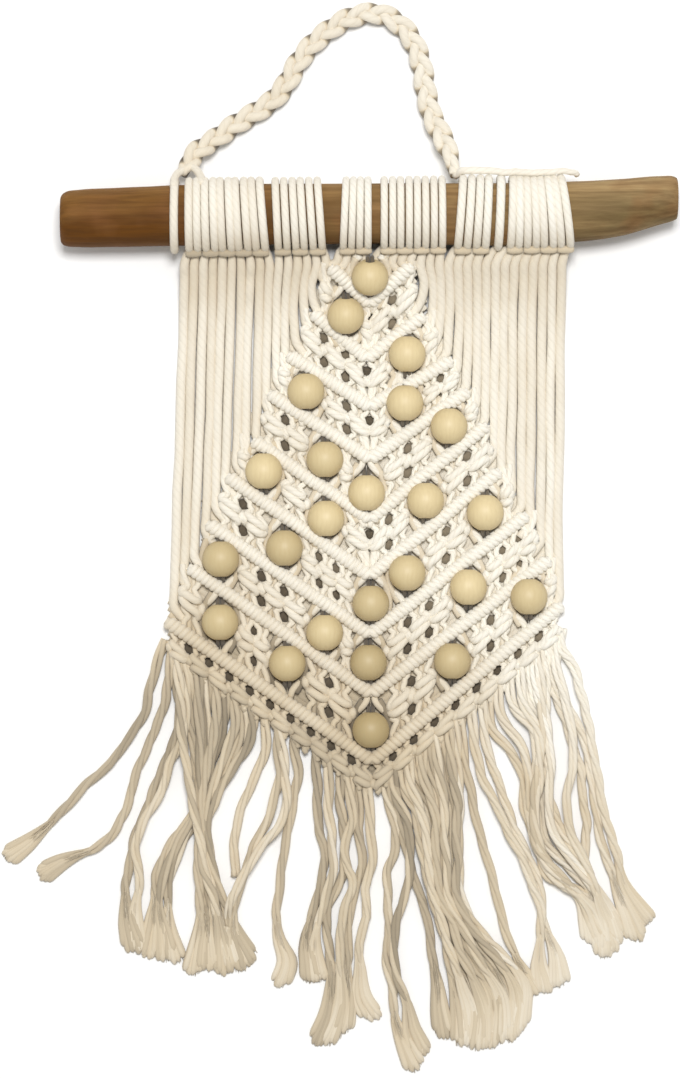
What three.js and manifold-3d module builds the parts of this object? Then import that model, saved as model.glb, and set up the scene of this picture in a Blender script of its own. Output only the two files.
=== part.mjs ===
// Macrame wall ornament on a wooden rod, lying face up. Millimetres, +Z up, +Y towards the hanging loop.
import * as THREE from 'three';
import { mergeVertices } from 'three/addons/utils/BufferGeometryUtils.js';
import Module from 'manifold-3d';

const wasm = await Module();
wasm.setup();

// Shared sizes
const CLEARANCE = 0.3;
const RING_SIDES = 12;
const RING_PHASE = Math.PI / RING_SIDES;

// Rod: centre line and diameter along its length, with an even stretch under the wraps
const ROD_DIAMETER = 19.6;
const ROD_SECTIONS = [
  { x: -99.8, y: -1.3, diameter: 14.5 },
  { x: -98.0, y: -1.2, diameter: 17.6 },
  { x: -94.0, y: -1.1, diameter: 18.5 },
  { x: -81.0, y: -0.8, diameter: 19.2 },
  { x: -65.0, y: -0.3, diameter: ROD_DIAMETER },
  { x: 68.0, y: 1.1, diameter: ROD_DIAMETER },
  { x: 81.6, y: 2.4, diameter: 18.5 },
  { x: 94.6, y: 4.5, diameter: 15.6 },
  { x: 98.4, y: 4.6, diameter: 13.6 },
  { x: 99.8, y: 4.6, diameter: 10.5 },
];

// Lark's head wraps: groups along the rod, with the number of turns in each
const WRAP_GROUPS = [
  { from: -64.2, to: -61.6, wraps: 1, bight: false },
  { from: -59.5, to: -33.7, wraps: 10, bight: true },
  { from: -31.0, to: -14.6, wraps: 6, bight: true },
  { from: -8.8, to: 0.8, wraps: 4, bight: true },
  { from: 3.6, to: 24.8, wraps: 8, bight: true },
  { from: 30.0, to: 39.7, wraps: 4, bight: true },
  { from: 41.1, to: 43.4, wraps: 1, bight: true },
  { from: 45.1, to: 66.5, wraps: 8, bight: true },
];
const WRAP_INNER_RADIUS = ROD_DIAMETER / 2 + CLEARANCE;
const WRAP_CREST_RADIUS = 12.3;
const WRAP_VALLEY_RADIUS = 11.4;
const ROD_HEIGHT = WRAP_CREST_RADIUS * Math.cos(RING_PHASE);
const BIGHT_RADIUS = 13.3;
const BIGHT_SIDE = 2;

// Cloth: how high it leaves the rod, and where it comes to lie flat
const CLOTH_TOP = -12.7;
const CLOTH_LIFT = 9.0;
const CLOTH_FLAT = -42.0;
const LIFT_STEPS = [-20, -30, CLOTH_FLAT];
const GROUND_DEPTH = 4.0;

// V lines of double half hitches: outer ends and apex of each
const LINES = [
  { leftX: -11.7, leftY: -18.4, apexX: 0.0, apexY: -28.5, rightX: 13.0, rightY: -18.0 },
  { leftX: -17.6, leftY: -31.9, apexX: -0.7, apexY: -46.2, rightX: 17.2, rightY: -32.7 },
  { leftX: -25.7, leftY: -45.4, apexX: 0.3, apexY: -61.8, rightX: 26.3, rightY: -47.0 },
  { leftX: -31.9, leftY: -57.9, apexX: 0.3, apexY: -78.9, rightX: 31.5, rightY: -57.2 },
  { leftX: -37.1, leftY: -73.3, apexX: 0.3, apexY: -98.4, rightX: 37.7, rightY: -68.3 },
  { leftX: -45.5, leftY: -84.9, apexX: 0.3, apexY: -117.0, rightX: 41.9, rightY: -83.2 },
  { leftX: -52.0, leftY: -100.3, apexX: 0.3, apexY: -136.0, rightX: 50.7, rightY: -97.5 },
  { leftX: -57.9, leftY: -114.5, apexX: 0.7, apexY: -155.2, rightX: 58.2, rightY: -112.0 },
  { leftX: -65.3, leftY: -132.0, apexX: 1.0, apexY: -177.1, rightX: 62.1, rightY: -126.8 },
];
const HEM = { leftX: -64.0, leftY: -139.4, apexX: 1.6, apexY: -187.2, rightX: 62.7, rightY: -137.8 };
const BAR_HALF_WIDTH = 4.0;
const BAR_CROWN_HALF_WIDTH = 1.9;
const BAR_CREST = 7.4;
const BAR_VALLEY = 6.1;
const HITCH_SLANT = 1.2;
const EDGE_HEIGHT = 3.0;

// Rows of square knots between the V lines, with pits beside the bars
const ARM_STATIONS = 18;
const KNOT_PITCH = 8.0;
const KNOT_CROWN = 6.2;
const KNOT_DIP = 4.4;
const PIT_SHARE = 0.25;
const PIT_SHALLOW = 3.6;
const PIT_DEEP = 1.4;

// Hanging strands between the rod and the sloping edges of the knotted tree
const STRAND_COUNT = 40;
const STRAND_SPAN = { topLeft: -60.5, topRight: 64.7, lowLeft: -64.0, lowRight: 62.7, lowY: -138.0 };
const STRAND_HALF_WIDTH = 1.3;
const STRAND_HEIGHT = 2.6;
const STRAND_FLOAT = 0.6;
const STRAND_ROOT = 5.0;
const STRAND_MIDDLE_GAP = 7.8;

// Beads: their places across and up the cloth, in rows by the V line below them
const BEAD_RADIUS = 6.0;
const BEAD_BORE_RADIUS = 2.2;
const BEAD_FLOAT = 0.2;
const BEAD_SIDES = 8;
const BEAD_ARC_STEPS = 4;
const BEAD_CORD_RADIUS = 1.6;
const BEAD_CORD_SIDES = 4;
const BEADS = [
  { line: 1, at: [[0.3, -20.2]] },
  { line: 2, at: [[-7.5, -32.5]] },
  { line: 3, at: [[12.4, -44.9]] },
  { line: 4, at: [[-20.5, -57.0], [11.7, -60.8]] },
  { line: 5, at: [[-14.3, -79.1], [-0.8, -90.0], [26.0, -68.3]] },
  { line: 6, at: [[-34.2, -82.9], [-14.0, -98.3], [18.4, -92.5]] },
  { line: 7, at: [[-27.5, -107.9], [0.6, -125.9], [12.4, -116.0], [37.8, -96.4]] },
  { line: 8, at: [[-48.2, -111.5], [-14.4, -135.4], [-0.2, -145.1], [32.3, -120.6]] },
  { line: 9, at: [[-48.4, -132.0], [-26.6, -145.4], [0.6, -167.0], [27.1, -144.6], [52.0, -123.7]] },
];

// Fringe: locks of loose strands, each from its root on the hem through a waist and a bend to its tip,
// with the pitch of its strands at the waist and at the flared tip
const STRIP_HALF_WIDTH = 1.0;
const STRIP_HEIGHT = 2.4;
const STRIP_FLOAT = 0.5;
const STRIP_STEPS = 8;
const STRIP_APEX_GAP = 0.8;
const STRIP_OVERHANG = 1.0;
const LOCK_ROOT_PITCH = 2.75;
const LOCK_GAP = 0.35;
const LOCK_WIDEST = 2.5;
const LOCK_HEIGHT = 2.6;
const LOCK_TIP_HEIGHT = 1.8;
const LOCK_STEPS = 6;
const LOCKS_LEFT = [
  { root: -64.4, waist: [-71, -160], bend: [-90, -183], tip: [-118.5, -209], count: 1, pitch: 3, flare: 7 },
  { root: -62.2, waist: [-68, -162], bend: [-79, -192], tip: [-107, -214.6], count: 1, pitch: 3, flare: 6.5 },
  { root: -58.6, waist: [-62, -163], bend: [-75, -203], tip: [-76.5, -240], count: 2, pitch: 2.4, flare: 3.4 },
  { root: -52.6, waist: [-58, -190], bend: [-65, -212], tip: [-67, -242.5], count: 3, pitch: 2.3, flare: 4 },
  { root: -43.6, waist: [-50, -193], bend: [-52, -215], tip: [-48, -248], count: 5, pitch: 2, flare: 3.8 },
  { root: -33.6, waist: [-40, -192], bend: [-43, -203], tip: [-42.8, -213.5], count: 1, pitch: 3, flare: 2.6 },
  { root: -29.4, waist: [-31, -192], bend: [-36, -206], tip: [-39, -224], count: 1, pitch: 3, flare: 3 },
  { root: -24.2, waist: [-25, -190], bend: [-28, -215], tip: [-28, -250], count: 1, pitch: 3, flare: 5.5 },
  { root: -16.4, waist: [-16, -199], bend: [-18, -225], tip: [-20, -249.5], count: 2, pitch: 2.5, flare: 3.2 },
  { root: -9.2, waist: [-9, -206], bend: [-12, -234], tip: [-14.5, -270], count: 3, pitch: 2.5, flare: 3.4 },
  { root: -2.2, waist: [-1, -207], bend: [-4, -234], tip: [0.5, -261.5], count: 2, pitch: 2.6, flare: 4 },
];
const LOCKS_RIGHT = [
  { root: 5.6, waist: [8, -206], bend: [6, -238], tip: [15.5, -278], count: 2, pitch: 2.5, flare: 3.4 },
  { root: 13, waist: [16, -206], bend: [21, -233], tip: [26.5, -269.5], count: 3, pitch: 2.3, flare: 3.2 },
  { root: 21.4, waist: [24, -206], bend: [29, -233], tip: [36.5, -270.5], count: 3, pitch: 2.3, flare: 3.2 },
  { root: 28.8, waist: [31, -206], bend: [37, -233], tip: [46.3, -268], count: 3, pitch: 2.2, flare: 3 },
  { root: 34.2, waist: [37, -202], bend: [44, -229], tip: [53, -252.5], count: 1, pitch: 3, flare: 4.5 },
  { root: 38.6, waist: [46, -200], bend: [55, -222], tip: [60.5, -253], count: 2, pitch: 2.5, flare: 4.2 },
  { root: 46, waist: [54, -185], bend: [62, -213], tip: [74, -243], count: 2, pitch: 2.5, flare: 3.6 },
  { root: 52, waist: [60, -185], bend: [68, -213], tip: [80.6, -242], count: 2, pitch: 2.4, flare: 3.4 },
  { root: 57.2, waist: [68, -183], bend: [74, -212], tip: [86.6, -238], count: 2, pitch: 2.4, flare: 3.4 },
  { root: 61.4, waist: [74, -182], bend: [81, -210], tip: [92.6, -232], count: 2, pitch: 2.4, flare: 3.4 },
];

// Hanger: a three-strand plait lying in a slack arch behind the rod
const HANGER_HALF_WIDTH = 3.7;
const HANGER_HALF_HEIGHT = 2.9;
const HANGER_BULGE = 0.45;
const HANGER_SIDES = 8;
const HANGER_STEPS = 54;
const HANGER_ROUTE = [
  { x: -60.6, y: 13.5, z: 9.0 },
  { x: -56.2, y: 20.5, z: 7.2 },
  { x: -49.7, y: 25.4, z: 4.6 },
  { x: -43.6, y: 29.9, z: 3.3 },
  { x: -37.7, y: 33.5, z: 3.1 },
  { x: -31.5, y: 37.7, z: 3.1 },
  { x: -26.7, y: 43.6, z: 3.1 },
  { x: -23.4, y: 49.7, z: 3.1 },
  { x: -18.9, y: 55.6, z: 3.1 },
  { x: -13.3, y: 60.5, z: 3.1 },
  { x: -5.5, y: 65.0, z: 3.1 },
  { x: 3.6, y: 66.0, z: 3.1 },
  { x: 10.7, y: 62.0, z: 3.1 },
  { x: 15.0, y: 55.9, z: 3.1 },
  { x: 17.2, y: 49.1, z: 3.1 },
  { x: 18.5, y: 41.0, z: 3.2 },
  { x: 20.5, y: 32.8, z: 4.2 },
  { x: 24.0, y: 25.2, z: 7.2 },
  { x: 26.6, y: 18.6, z: 10.4 },
  { x: 27.7, y: 12.9, z: 11.8 },
];

// Loose cord from the plait's right end along the back of the wraps to the last turn
const TAIL_RADIUS = 1.5;
const TAIL_SIDES = 6;
const TAIL_STEPS = 12;
const TAIL_ROUTE = [
  { x: 31.2, y: 14.4, z: 15.2 },
  { x: 38.0, y: 14.3, z: 15.8 },
  { x: 46.0, y: 13.7, z: 17.2 },
  { x: 55.0, y: 13.8, z: 17.4 },
  { x: 65.6, y: 13.9, z: 17.4 },
];

const COTTON = new THREE.MeshStandardMaterial({ color: 0xe9e0cc, roughness: 0.95, metalness: 0 });
const ROD_WOOD = new THREE.MeshStandardMaterial({ color: 0x8a5f36, roughness: 0.75, metalness: 0 });
const BEAD_WOOD = new THREE.MeshStandardMaterial({ color: 0xdcc08c, roughness: 0.55, metalness: 0 });

const ornament = new THREE.Group();

function addPiece(name, geometry, material) {
  const mesh = new THREE.Mesh(geometry, material.clone());
  mesh.name = name;
  ornament.add(mesh);
  return mesh;
}

// Value of a column at x, straight between the rows of a table sorted by x
function between(rows, column, x) {
  let i = 0;
  while (i < rows.length - 2 && x > rows[i + 1].x) {
    i += 1;
  }
  const share = (x - rows[i].x) / (rows[i + 1].x - rows[i].x);
  return THREE.MathUtils.lerp(rows[i][column], rows[i + 1][column], share);
}

function merged(geometry) {
  geometry.deleteAttribute('normal');
  geometry.deleteAttribute('uv');
  return mergeVertices(geometry);
}

function toSolid(geometry) {
  const closed = merged(geometry);
  return new wasm.Manifold(new wasm.Mesh({
    numProp: 3,
    vertProperties: Float32Array.from(closed.attributes.position.array),
    triVerts: Uint32Array.from(closed.index.array),
  }));
}

function toGeometry(solid) {
  const mesh = solid.getMesh();
  const geometry = new THREE.BufferGeometry();
  geometry.setAttribute('position', new THREE.BufferAttribute(mesh.vertProperties, 3));
  geometry.setIndex(new THREE.BufferAttribute(mesh.triVerts, 1));
  return geometry;
}

function joined(geometries) {
  return geometries.map(toSolid).reduce((whole, next) => whole.add(next));
}

// Unit direction at a station of a path, and how much a section is widened where the path bends
function heading(stations, i) {
  const before = stations[Math.max(i - 1, 0)];
  const here = stations[i];
  const after = stations[Math.min(i + 1, stations.length - 1)];
  const arriving = here.clone().sub(before).normalize();
  const leaving = after.clone().sub(here).normalize();
  const along = arriving.clone().add(leaving).normalize();
  const edge = i === 0 ? leaving : arriving;
  return { along, widen: 1 / along.dot(edge) };
}

// Closed bar along a path: corners(i) lists the section at station i, clockwise from the top right,
// each corner with its distance across, up and along the path
function sweep(stations, corners) {
  const steps = stations.length - 1;
  const sections = stations.map((_, i) => corners(i));
  const sides = sections[0].length;
  const shape = new THREE.CylinderGeometry(1, 1, 1, sides, steps);
  const points = shape.attributes.position;
  for (let v = 0; v < points.count; v += 1) {
    const i = Math.round((points.getY(v) + 0.5) * steps);
    const turn = Math.atan2(points.getX(v), points.getZ(v)) / (2 * Math.PI);
    const k = (Math.round(turn * sides) + sides) % sides;
    const onRim = Math.hypot(points.getX(v), points.getZ(v)) > 0.5;
    const used = onRim ? [sections[i][k]] : sections[i];
    const mean = (column) => used.reduce((sum, corner) => sum + corner[column], 0) / used.length;
    const { along, widen } = heading(stations, i);
    const across = new THREE.Vector3(along.y, -along.x, 0).normalize();
    const place = stations[i].clone();
    place.addScaledVector(across, mean('across') * widen);
    place.addScaledVector(along, mean('along'));
    place.z += mean('up');
    points.setXYZ(v, place.x, place.y, place.z);
  }
  return merged(shape);
}

// Corners of a four-sided strand that stands on its path
function strandCorners(halfWidth, height) {
  return [
    { across: halfWidth, up: height, along: 0 },
    { across: halfWidth, up: 0, along: 0 },
    { across: -halfWidth, up: 0, along: 0 },
    { across: -halfWidth, up: height, along: 0 },
  ];
}

// Corners of an upright oval centred on its path
function ovalCorners(sides, halfWidth, halfHeight) {
  return Array.from({ length: sides }, (_, k) => ({
    across: halfWidth * Math.sin((k * 2 * Math.PI) / sides),
    up: halfHeight * Math.cos((k * 2 * Math.PI) / sides),
    along: 0,
  }));
}

// Turned shapes lie along x and follow the rod's centre line
function alongRod(profile, shaped = (radius) => radius) {
  const shape = new THREE.LatheGeometry(profile, RING_SIDES, RING_PHASE);
  const points = shape.attributes.position;
  for (let v = 0; v < points.count; v += 1) {
    const side = Math.floor(v / profile.length) % RING_SIDES;
    const angle = RING_PHASE + side * 2 * RING_PHASE;
    const { x: radius, y: x } = profile[v % profile.length];
    const reach = shaped(radius, side);
    const y = between(ROD_SECTIONS, 'y', x);
    points.setXYZ(v, x, y - reach * Math.sin(angle), ROD_HEIGHT + reach * Math.cos(angle));
  }
  return merged(shape);
}

function rod() {
  const first = ROD_SECTIONS[0];
  const last = ROD_SECTIONS[ROD_SECTIONS.length - 1];
  return alongRod([
    new THREE.Vector2(0, first.x),
    ...ROD_SECTIONS.map((row) => new THREE.Vector2(row.diameter / 2, row.x)),
    new THREE.Vector2(0, last.x),
  ]);
}

// Ridged ring of turns round the rod, with the bight bar raised along its lower front edge
function wrapGroup({ from, to, wraps, bight }) {
  const pitch = (to - from) / wraps;
  const profile = [new THREE.Vector2(WRAP_VALLEY_RADIUS, from)];
  for (let i = 0; i < wraps; i += 1) {
    profile.push(new THREE.Vector2(WRAP_CREST_RADIUS, from + (i + 0.5) * pitch));
    profile.push(new THREE.Vector2(WRAP_VALLEY_RADIUS, from + (i + 1) * pitch));
  }
  profile.push(new THREE.Vector2(WRAP_INNER_RADIUS, to));
  profile.push(new THREE.Vector2(WRAP_INNER_RADIUS, from));
  profile.push(profile[0].clone());
  return alongRod(profile, (radius, side) => (
    bight && side === BIGHT_SIDE && radius > WRAP_INNER_RADIUS ? BIGHT_RADIUS : radius
  ));
}

// Height of the cloth's underside: it leaves the rod and comes down to the surface
function lift(y) {
  const share = THREE.MathUtils.clamp((y - CLOTH_FLAT) / (CLOTH_TOP - CLOTH_FLAT), 0, 1);
  return CLOTH_LIFT * share * share;
}

function lifted(geometry) {
  const points = geometry.attributes.position;
  for (let v = 0; v < points.count; v += 1) {
    points.setZ(v, points.getZ(v) + lift(points.getY(v)));
  }
  return geometry;
}

function lineY(line, x) {
  const [endX, endY] = x < line.apexX ? [line.leftX, line.leftY] : [line.rightX, line.rightY];
  return line.apexY + ((x - line.apexX) * (endY - line.apexY)) / (endX - line.apexX);
}

// Rows of points down the knotted tree: each line's crown, then the knots and pits below it
function reliefRows() {
  const rows = [{ upper: 0, share: 0, shift: BAR_HALF_WIDTH, form: 'foot' }];
  LINES.forEach((_, upper) => {
    rows.push({ upper, share: 0, shift: BAR_CROWN_HALF_WIDTH, form: 'hitchAbove' });
    rows.push({ upper, share: 0, shift: -BAR_CROWN_HALF_WIDTH, form: 'hitchBelow' });
    rows.push({ upper, share: PIT_SHARE, shift: 0, form: 'pit' });
    rows.push({ upper, share: 1 / 2, shift: 0, form: 'knot' });
    rows.push({ upper, share: 1 - PIT_SHARE, shift: 0, form: 'pit' });
  });
  rows.push({ upper: LINES.length - 1, share: 1, shift: 0, form: 'foot' });
  return rows;
}

// Height of a row of the relief at a distance from the apex
function reliefHeight(form, distance) {
  const wave = (slant) => (1 + Math.cos((2 * Math.PI * (distance + slant)) / KNOT_PITCH)) / 2;
  const heights = {
    foot: () => EDGE_HEIGHT,
    hitchAbove: () => THREE.MathUtils.lerp(BAR_VALLEY, BAR_CREST, wave(HITCH_SLANT)),
    hitchBelow: () => THREE.MathUtils.lerp(BAR_VALLEY, BAR_CREST, wave(-HITCH_SLANT)),
    pit: () => THREE.MathUtils.lerp(PIT_DEEP, PIT_SHALLOW, 1 - wave(0)),
    knot: () => THREE.MathUtils.lerp(KNOT_DIP, KNOT_CROWN, 1 - wave(0)),
  };
  return heights[form]();
}

function onLine(line, u) {
  const [endX, endY] = u < 0 ? [line.leftX, line.leftY] : [line.rightX, line.rightY];
  return new THREE.Vector2(line.apexX, line.apexY).lerp(new THREE.Vector2(endX, endY), Math.abs(u));
}

// Knotted tree: a slab whose face is raised in bars of hitches along the V lines and knots between them
function knottedTree() {
  const rows = reliefRows();
  const shape = new THREE.BoxGeometry(2, rows.length - 1, 1, 2 * ARM_STATIONS, rows.length - 1, 1);
  const points = shape.attributes.position;
  for (let v = 0; v < points.count; v += 1) {
    const u = points.getX(v);
    const row = rows[Math.round((rows.length - 1) / 2 - points.getY(v))];
    const line = LINES[row.upper];
    const below = LINES[row.upper + 1] ?? HEM;
    const place = onLine(line, u).lerp(onLine(below, u), row.share);
    const distance = place.distanceTo(new THREE.Vector2(line.apexX, line.apexY));
    const up = points.getZ(v) > 0 ? reliefHeight(row.form, distance) : -GROUND_DEPTH / 2;
    points.setXYZ(v, place.x, place.y + row.shift, up);
  }
  return lifted(merged(shape));
}

// What the tree lies on: level, and rising towards the rod
function ground() {
  const steps = [CLOTH_TOP, ...LIFT_STEPS, HEM.apexY - KNOT_PITCH];
  const stations = steps.map((y) => new THREE.Vector3(0, y, lift(y)));
  const across = HEM.rightX - HEM.leftX;
  return sweep(stations, () => [
    { across, up: 0, along: 0 },
    { across, up: -GROUND_DEPTH, along: 0 },
    { across: -across, up: -GROUND_DEPTH, along: 0 },
    { across: -across, up: 0, along: 0 },
  ]);
}

// Height at which a strand at x reaches the sloping edge of the knotted tree
function treeEdge(x) {
  const ends = x < 0
    ? LINES.map((line) => ({ x: line.leftX, y: line.leftY })).reverse()
    : LINES.map((line) => ({ x: line.rightX, y: line.rightY }));
  const first = LINES[0];
  if (x > first.leftX && x < first.rightX) {
    return lineY(first, x);
  }
  return between(ends, 'y', x);
}

function hangingStrand(i) {
  const share = i / (STRAND_COUNT - 1);
  const top = THREE.MathUtils.lerp(STRAND_SPAN.topLeft, STRAND_SPAN.topRight, share);
  const low = THREE.MathUtils.lerp(STRAND_SPAN.lowLeft, STRAND_SPAN.lowRight, share);
  const place = (y) => new THREE.Vector3(
    THREE.MathUtils.mapLinear(y, CLOTH_TOP, STRAND_SPAN.lowY, top, low),
    y,
    STRAND_FLOAT,
  );
  let end = treeEdge(top);
  end = treeEdge(place(end).x) - STRAND_ROOT;
  const steps = LIFT_STEPS.filter((y) => y > end + STRAND_ROOT / 2);
  const stations = [between(ROD_SECTIONS, 'y', top) + CLOTH_TOP, ...steps, end].map(place);
  return lifted(sweep(stations, () => strandCorners(STRAND_HALF_WIDTH, STRAND_HEIGHT)));
}

function hangingStrands() {
  const strands = [];
  for (let i = 0; i < STRAND_COUNT; i += 1) {
    const top = THREE.MathUtils.lerp(STRAND_SPAN.topLeft, STRAND_SPAN.topRight, i / (STRAND_COUNT - 1));
    if (Math.abs(top) > STRAND_MIDDLE_GAP) {
      strands.push(hangingStrand(i));
    }
  }
  return strands;
}

// Each bead's centre, and its cord's ends on the lines above and below it
function beadPlaces() {
  const onCloth = (x, y) => new THREE.Vector3(x, y, lift(y) + BEAD_RADIUS + BEAD_FLOAT);
  return BEADS.flatMap(({ line, at }) => at.map(([x, y]) => {
    const above = onCloth(x, line === 1 ? CLOTH_TOP : lineY(LINES[line - 2], x));
    const below = onCloth(x, lineY(LINES[line - 1], x));
    const share = (y - above.y) / (below.y - above.y);
    return { above, below, centre: above.clone().lerp(below, share) };
  }));
}

// Turned bead with its bore along its cord
function bead({ above, below, centre }) {
  const lip = Math.sqrt(BEAD_RADIUS ** 2 - BEAD_BORE_RADIUS ** 2);
  const start = Math.asin(lip / BEAD_RADIUS);
  const profile = [];
  for (let i = 0; i <= BEAD_ARC_STEPS; i += 1) {
    const angle = THREE.MathUtils.lerp(-start, start, i / BEAD_ARC_STEPS);
    profile.push(new THREE.Vector2(BEAD_RADIUS * Math.cos(angle), BEAD_RADIUS * Math.sin(angle)));
  }
  profile.push(profile[0].clone());
  const shape = new THREE.LatheGeometry(profile, BEAD_SIDES, Math.PI / BEAD_SIDES);
  shape.rotateX(Math.atan2(above.z - below.z, above.y - below.y));
  shape.translate(centre.x, centre.y, centre.z);
  return merged(shape);
}

// Upright prism that makes room for a bead in the cloth
function beadPocket({ centre }) {
  const radius = (BEAD_RADIUS + CLEARANCE) / Math.cos(Math.PI / BEAD_SIDES);
  const height = 2 * (CLOTH_LIFT + BAR_CREST);
  const prism = new THREE.CylinderGeometry(radius, radius, height, BEAD_SIDES, 1);
  prism.rotateX(Math.PI / 2);
  prism.translate(centre.x, centre.y, 0);
  return prism;
}

// Cord through a bead's bore, from the line above it to the line below
function beadCord({ above, below }) {
  return sweep([above, below], () => ovalCorners(BEAD_CORD_SIDES, BEAD_CORD_RADIUS, BEAD_CORD_RADIUS));
}

function panel(places) {
  const tree = toSolid(knottedTree()).subtract(toSolid(ground()));
  const cloth = tree.add(joined(hangingStrands()));
  const pockets = joined(places.map(beadPocket));
  return toGeometry(cloth.subtract(pockets).add(joined(places.map(beadCord))));
}

// Point on the fringe's backing strip, just outside the hem
function stripPoint(x) {
  const [endX, endY] = x < HEM.apexX ? [HEM.leftX, HEM.leftY] : [HEM.rightX, HEM.rightY];
  const slope = Math.atan2(endY - HEM.apexY, endX - HEM.apexX);
  const drop = (CLEARANCE + STRIP_HALF_WIDTH) / Math.abs(Math.cos(slope));
  return new THREE.Vector3(x, lineY(HEM, x) - drop, 0);
}

function strip(from, to) {
  const stations = Array.from({ length: STRIP_STEPS + 1 }, (_, i) => {
    const station = stripPoint(THREE.MathUtils.lerp(from, to, i / STRIP_STEPS));
    return station.setZ(STRIP_FLOAT);
  });
  return sweep(stations, () => strandCorners(STRIP_HALF_WIDTH, STRIP_HEIGHT));
}

// One strand of a lock, offset from the lock's own line
function lockStrand(lock, index) {
  const offset = index - (lock.count - 1) / 2;
  const beside = ([x, y], shift) => new THREE.Vector3(x + shift, y, 0);
  const curve = new THREE.CatmullRomCurve3([
    stripPoint(lock.root + offset * LOCK_ROOT_PITCH),
    beside(lock.waist, offset * lock.pitch),
    beside(lock.bend, (offset * (lock.pitch + lock.flare)) / 2),
    beside(lock.tip, offset * lock.flare),
  ]);
  const stations = curve.getSpacedPoints(LOCK_STEPS);
  return sweep(stations, (i) => {
    const share = i / LOCK_STEPS;
    const slim = Math.min(LOCK_WIDEST, lock.pitch - LOCK_GAP);
    const widening = Math.max(0, 2 * share - 1);
    const width = THREE.MathUtils.lerp(slim, lock.flare - LOCK_GAP, widening);
    const height = THREE.MathUtils.lerp(LOCK_HEIGHT, LOCK_TIP_HEIGHT, share);
    return [
      { across: 0, up: height, along: 0 },
      { across: width / 2, up: 0, along: 0 },
      { across: -width / 2, up: 0, along: 0 },
    ];
  });
}

function fringe(from, to, locks) {
  const strands = locks.flatMap((lock) => (
    Array.from({ length: lock.count }, (_, index) => lockStrand(lock, index))
  ));
  return toGeometry(joined([strip(from, to), ...strands]));
}

function routeStations(route, steps) {
  const curve = new THREE.CatmullRomCurve3(route.map(({ x, y, z }) => new THREE.Vector3(x, y, z)));
  return curve.getSpacedPoints(steps);
}

// Plait: its sides bulge in turn, left and right, as the strands cross
function hanger() {
  return sweep(routeStations(HANGER_ROUTE, HANGER_STEPS), (i) => {
    const side = i % 2 ? 1 : -1;
    return ovalCorners(HANGER_SIDES, HANGER_HALF_WIDTH, HANGER_HALF_HEIGHT).map((corner) => ({
      ...corner,
      across: corner.across + (side * HANGER_BULGE * corner.across ** 2) / HANGER_HALF_WIDTH ** 2,
    }));
  });
}

function hangerTail() {
  return sweep(routeStations(TAIL_ROUTE, TAIL_STEPS), () => (
    ovalCorners(TAIL_SIDES, TAIL_RADIUS, TAIL_RADIUS)
  ));
}

addPiece('rod', rod(), ROD_WOOD);
WRAP_GROUPS.forEach((group, i) => addPiece(`wraps_${i + 1}`, wrapGroup(group), COTTON));
const places = beadPlaces();
addPiece('panel', panel(places), COTTON);
places.forEach((place, i) => addPiece(`bead_${String(i + 1).padStart(2, '0')}`, bead(place), BEAD_WOOD));
addPiece('fringe_left', fringe(HEM.leftX - STRIP_OVERHANG, HEM.apexX - STRIP_APEX_GAP, LOCKS_LEFT), COTTON);
addPiece('fringe_right', fringe(HEM.apexX + STRIP_APEX_GAP, HEM.rightX, LOCKS_RIGHT), COTTON);
addPiece('hanger_tail', hangerTail(), COTTON);

// The origin is under the middle of everything but the loose hanger
const box = new THREE.Box3().setFromObject(ornament);
const centre = box.getCenter(new THREE.Vector3());
addPiece('hanger', hanger(), COTTON);
ornament.position.set(-centre.x, -centre.y, -box.min.z);

export default ornament;
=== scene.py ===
"""Looks of a macrame wall ornament on a wooden rod, lying face up on a pale floor."""

import math
from collections import namedtuple

import bpy
import numpy as np
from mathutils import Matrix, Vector


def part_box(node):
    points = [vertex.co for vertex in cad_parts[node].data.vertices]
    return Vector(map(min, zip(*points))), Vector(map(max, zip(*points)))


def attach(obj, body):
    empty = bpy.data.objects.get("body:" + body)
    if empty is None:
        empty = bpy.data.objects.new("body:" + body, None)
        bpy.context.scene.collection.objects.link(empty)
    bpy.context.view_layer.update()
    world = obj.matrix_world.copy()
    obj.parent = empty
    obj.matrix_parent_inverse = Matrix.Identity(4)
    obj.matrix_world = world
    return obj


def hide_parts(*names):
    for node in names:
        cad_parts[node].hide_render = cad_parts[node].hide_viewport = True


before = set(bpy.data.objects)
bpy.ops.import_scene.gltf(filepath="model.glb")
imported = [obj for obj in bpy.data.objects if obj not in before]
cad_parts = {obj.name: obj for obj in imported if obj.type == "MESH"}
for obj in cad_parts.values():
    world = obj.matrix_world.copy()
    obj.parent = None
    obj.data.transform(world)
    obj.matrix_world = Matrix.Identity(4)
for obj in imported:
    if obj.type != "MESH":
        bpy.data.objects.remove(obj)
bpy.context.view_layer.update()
RANDOM_SEED = 24
rng = np.random.default_rng(RANDOM_SEED)

# Sizes are millimetres in the part's own coordinates: x along the rod from its middle, y towards the loop.
# The frame's origin is found from the rod's left end and the lowest point of the knotted cloth.
ROD_LEFT_END = -99.8
CLOTH_LOWEST = -187.2
SHIFT = np.array([
    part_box("rod")[0].x * 1000 - ROD_LEFT_END,
    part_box("panel")[0].y * 1000 - CLOTH_LOWEST,
    0.0,
])

# Photograph: its size, its scale and the pixel at the rod's middle
PHOTO_WIDTH = 680
PHOTO_HEIGHT = 1079
MM_PER_PIXEL = 0.325
PIXEL_AT_ZERO = (369, 216)
# Camera: its height, that of the face it frames, its sensor, and its reach in metres
CAMERA_HEIGHT = 1600.0
FACE_HEIGHT = 6.0
SENSOR_HEIGHT = 36.0
CAMERA_REACH = 20.0

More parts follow.
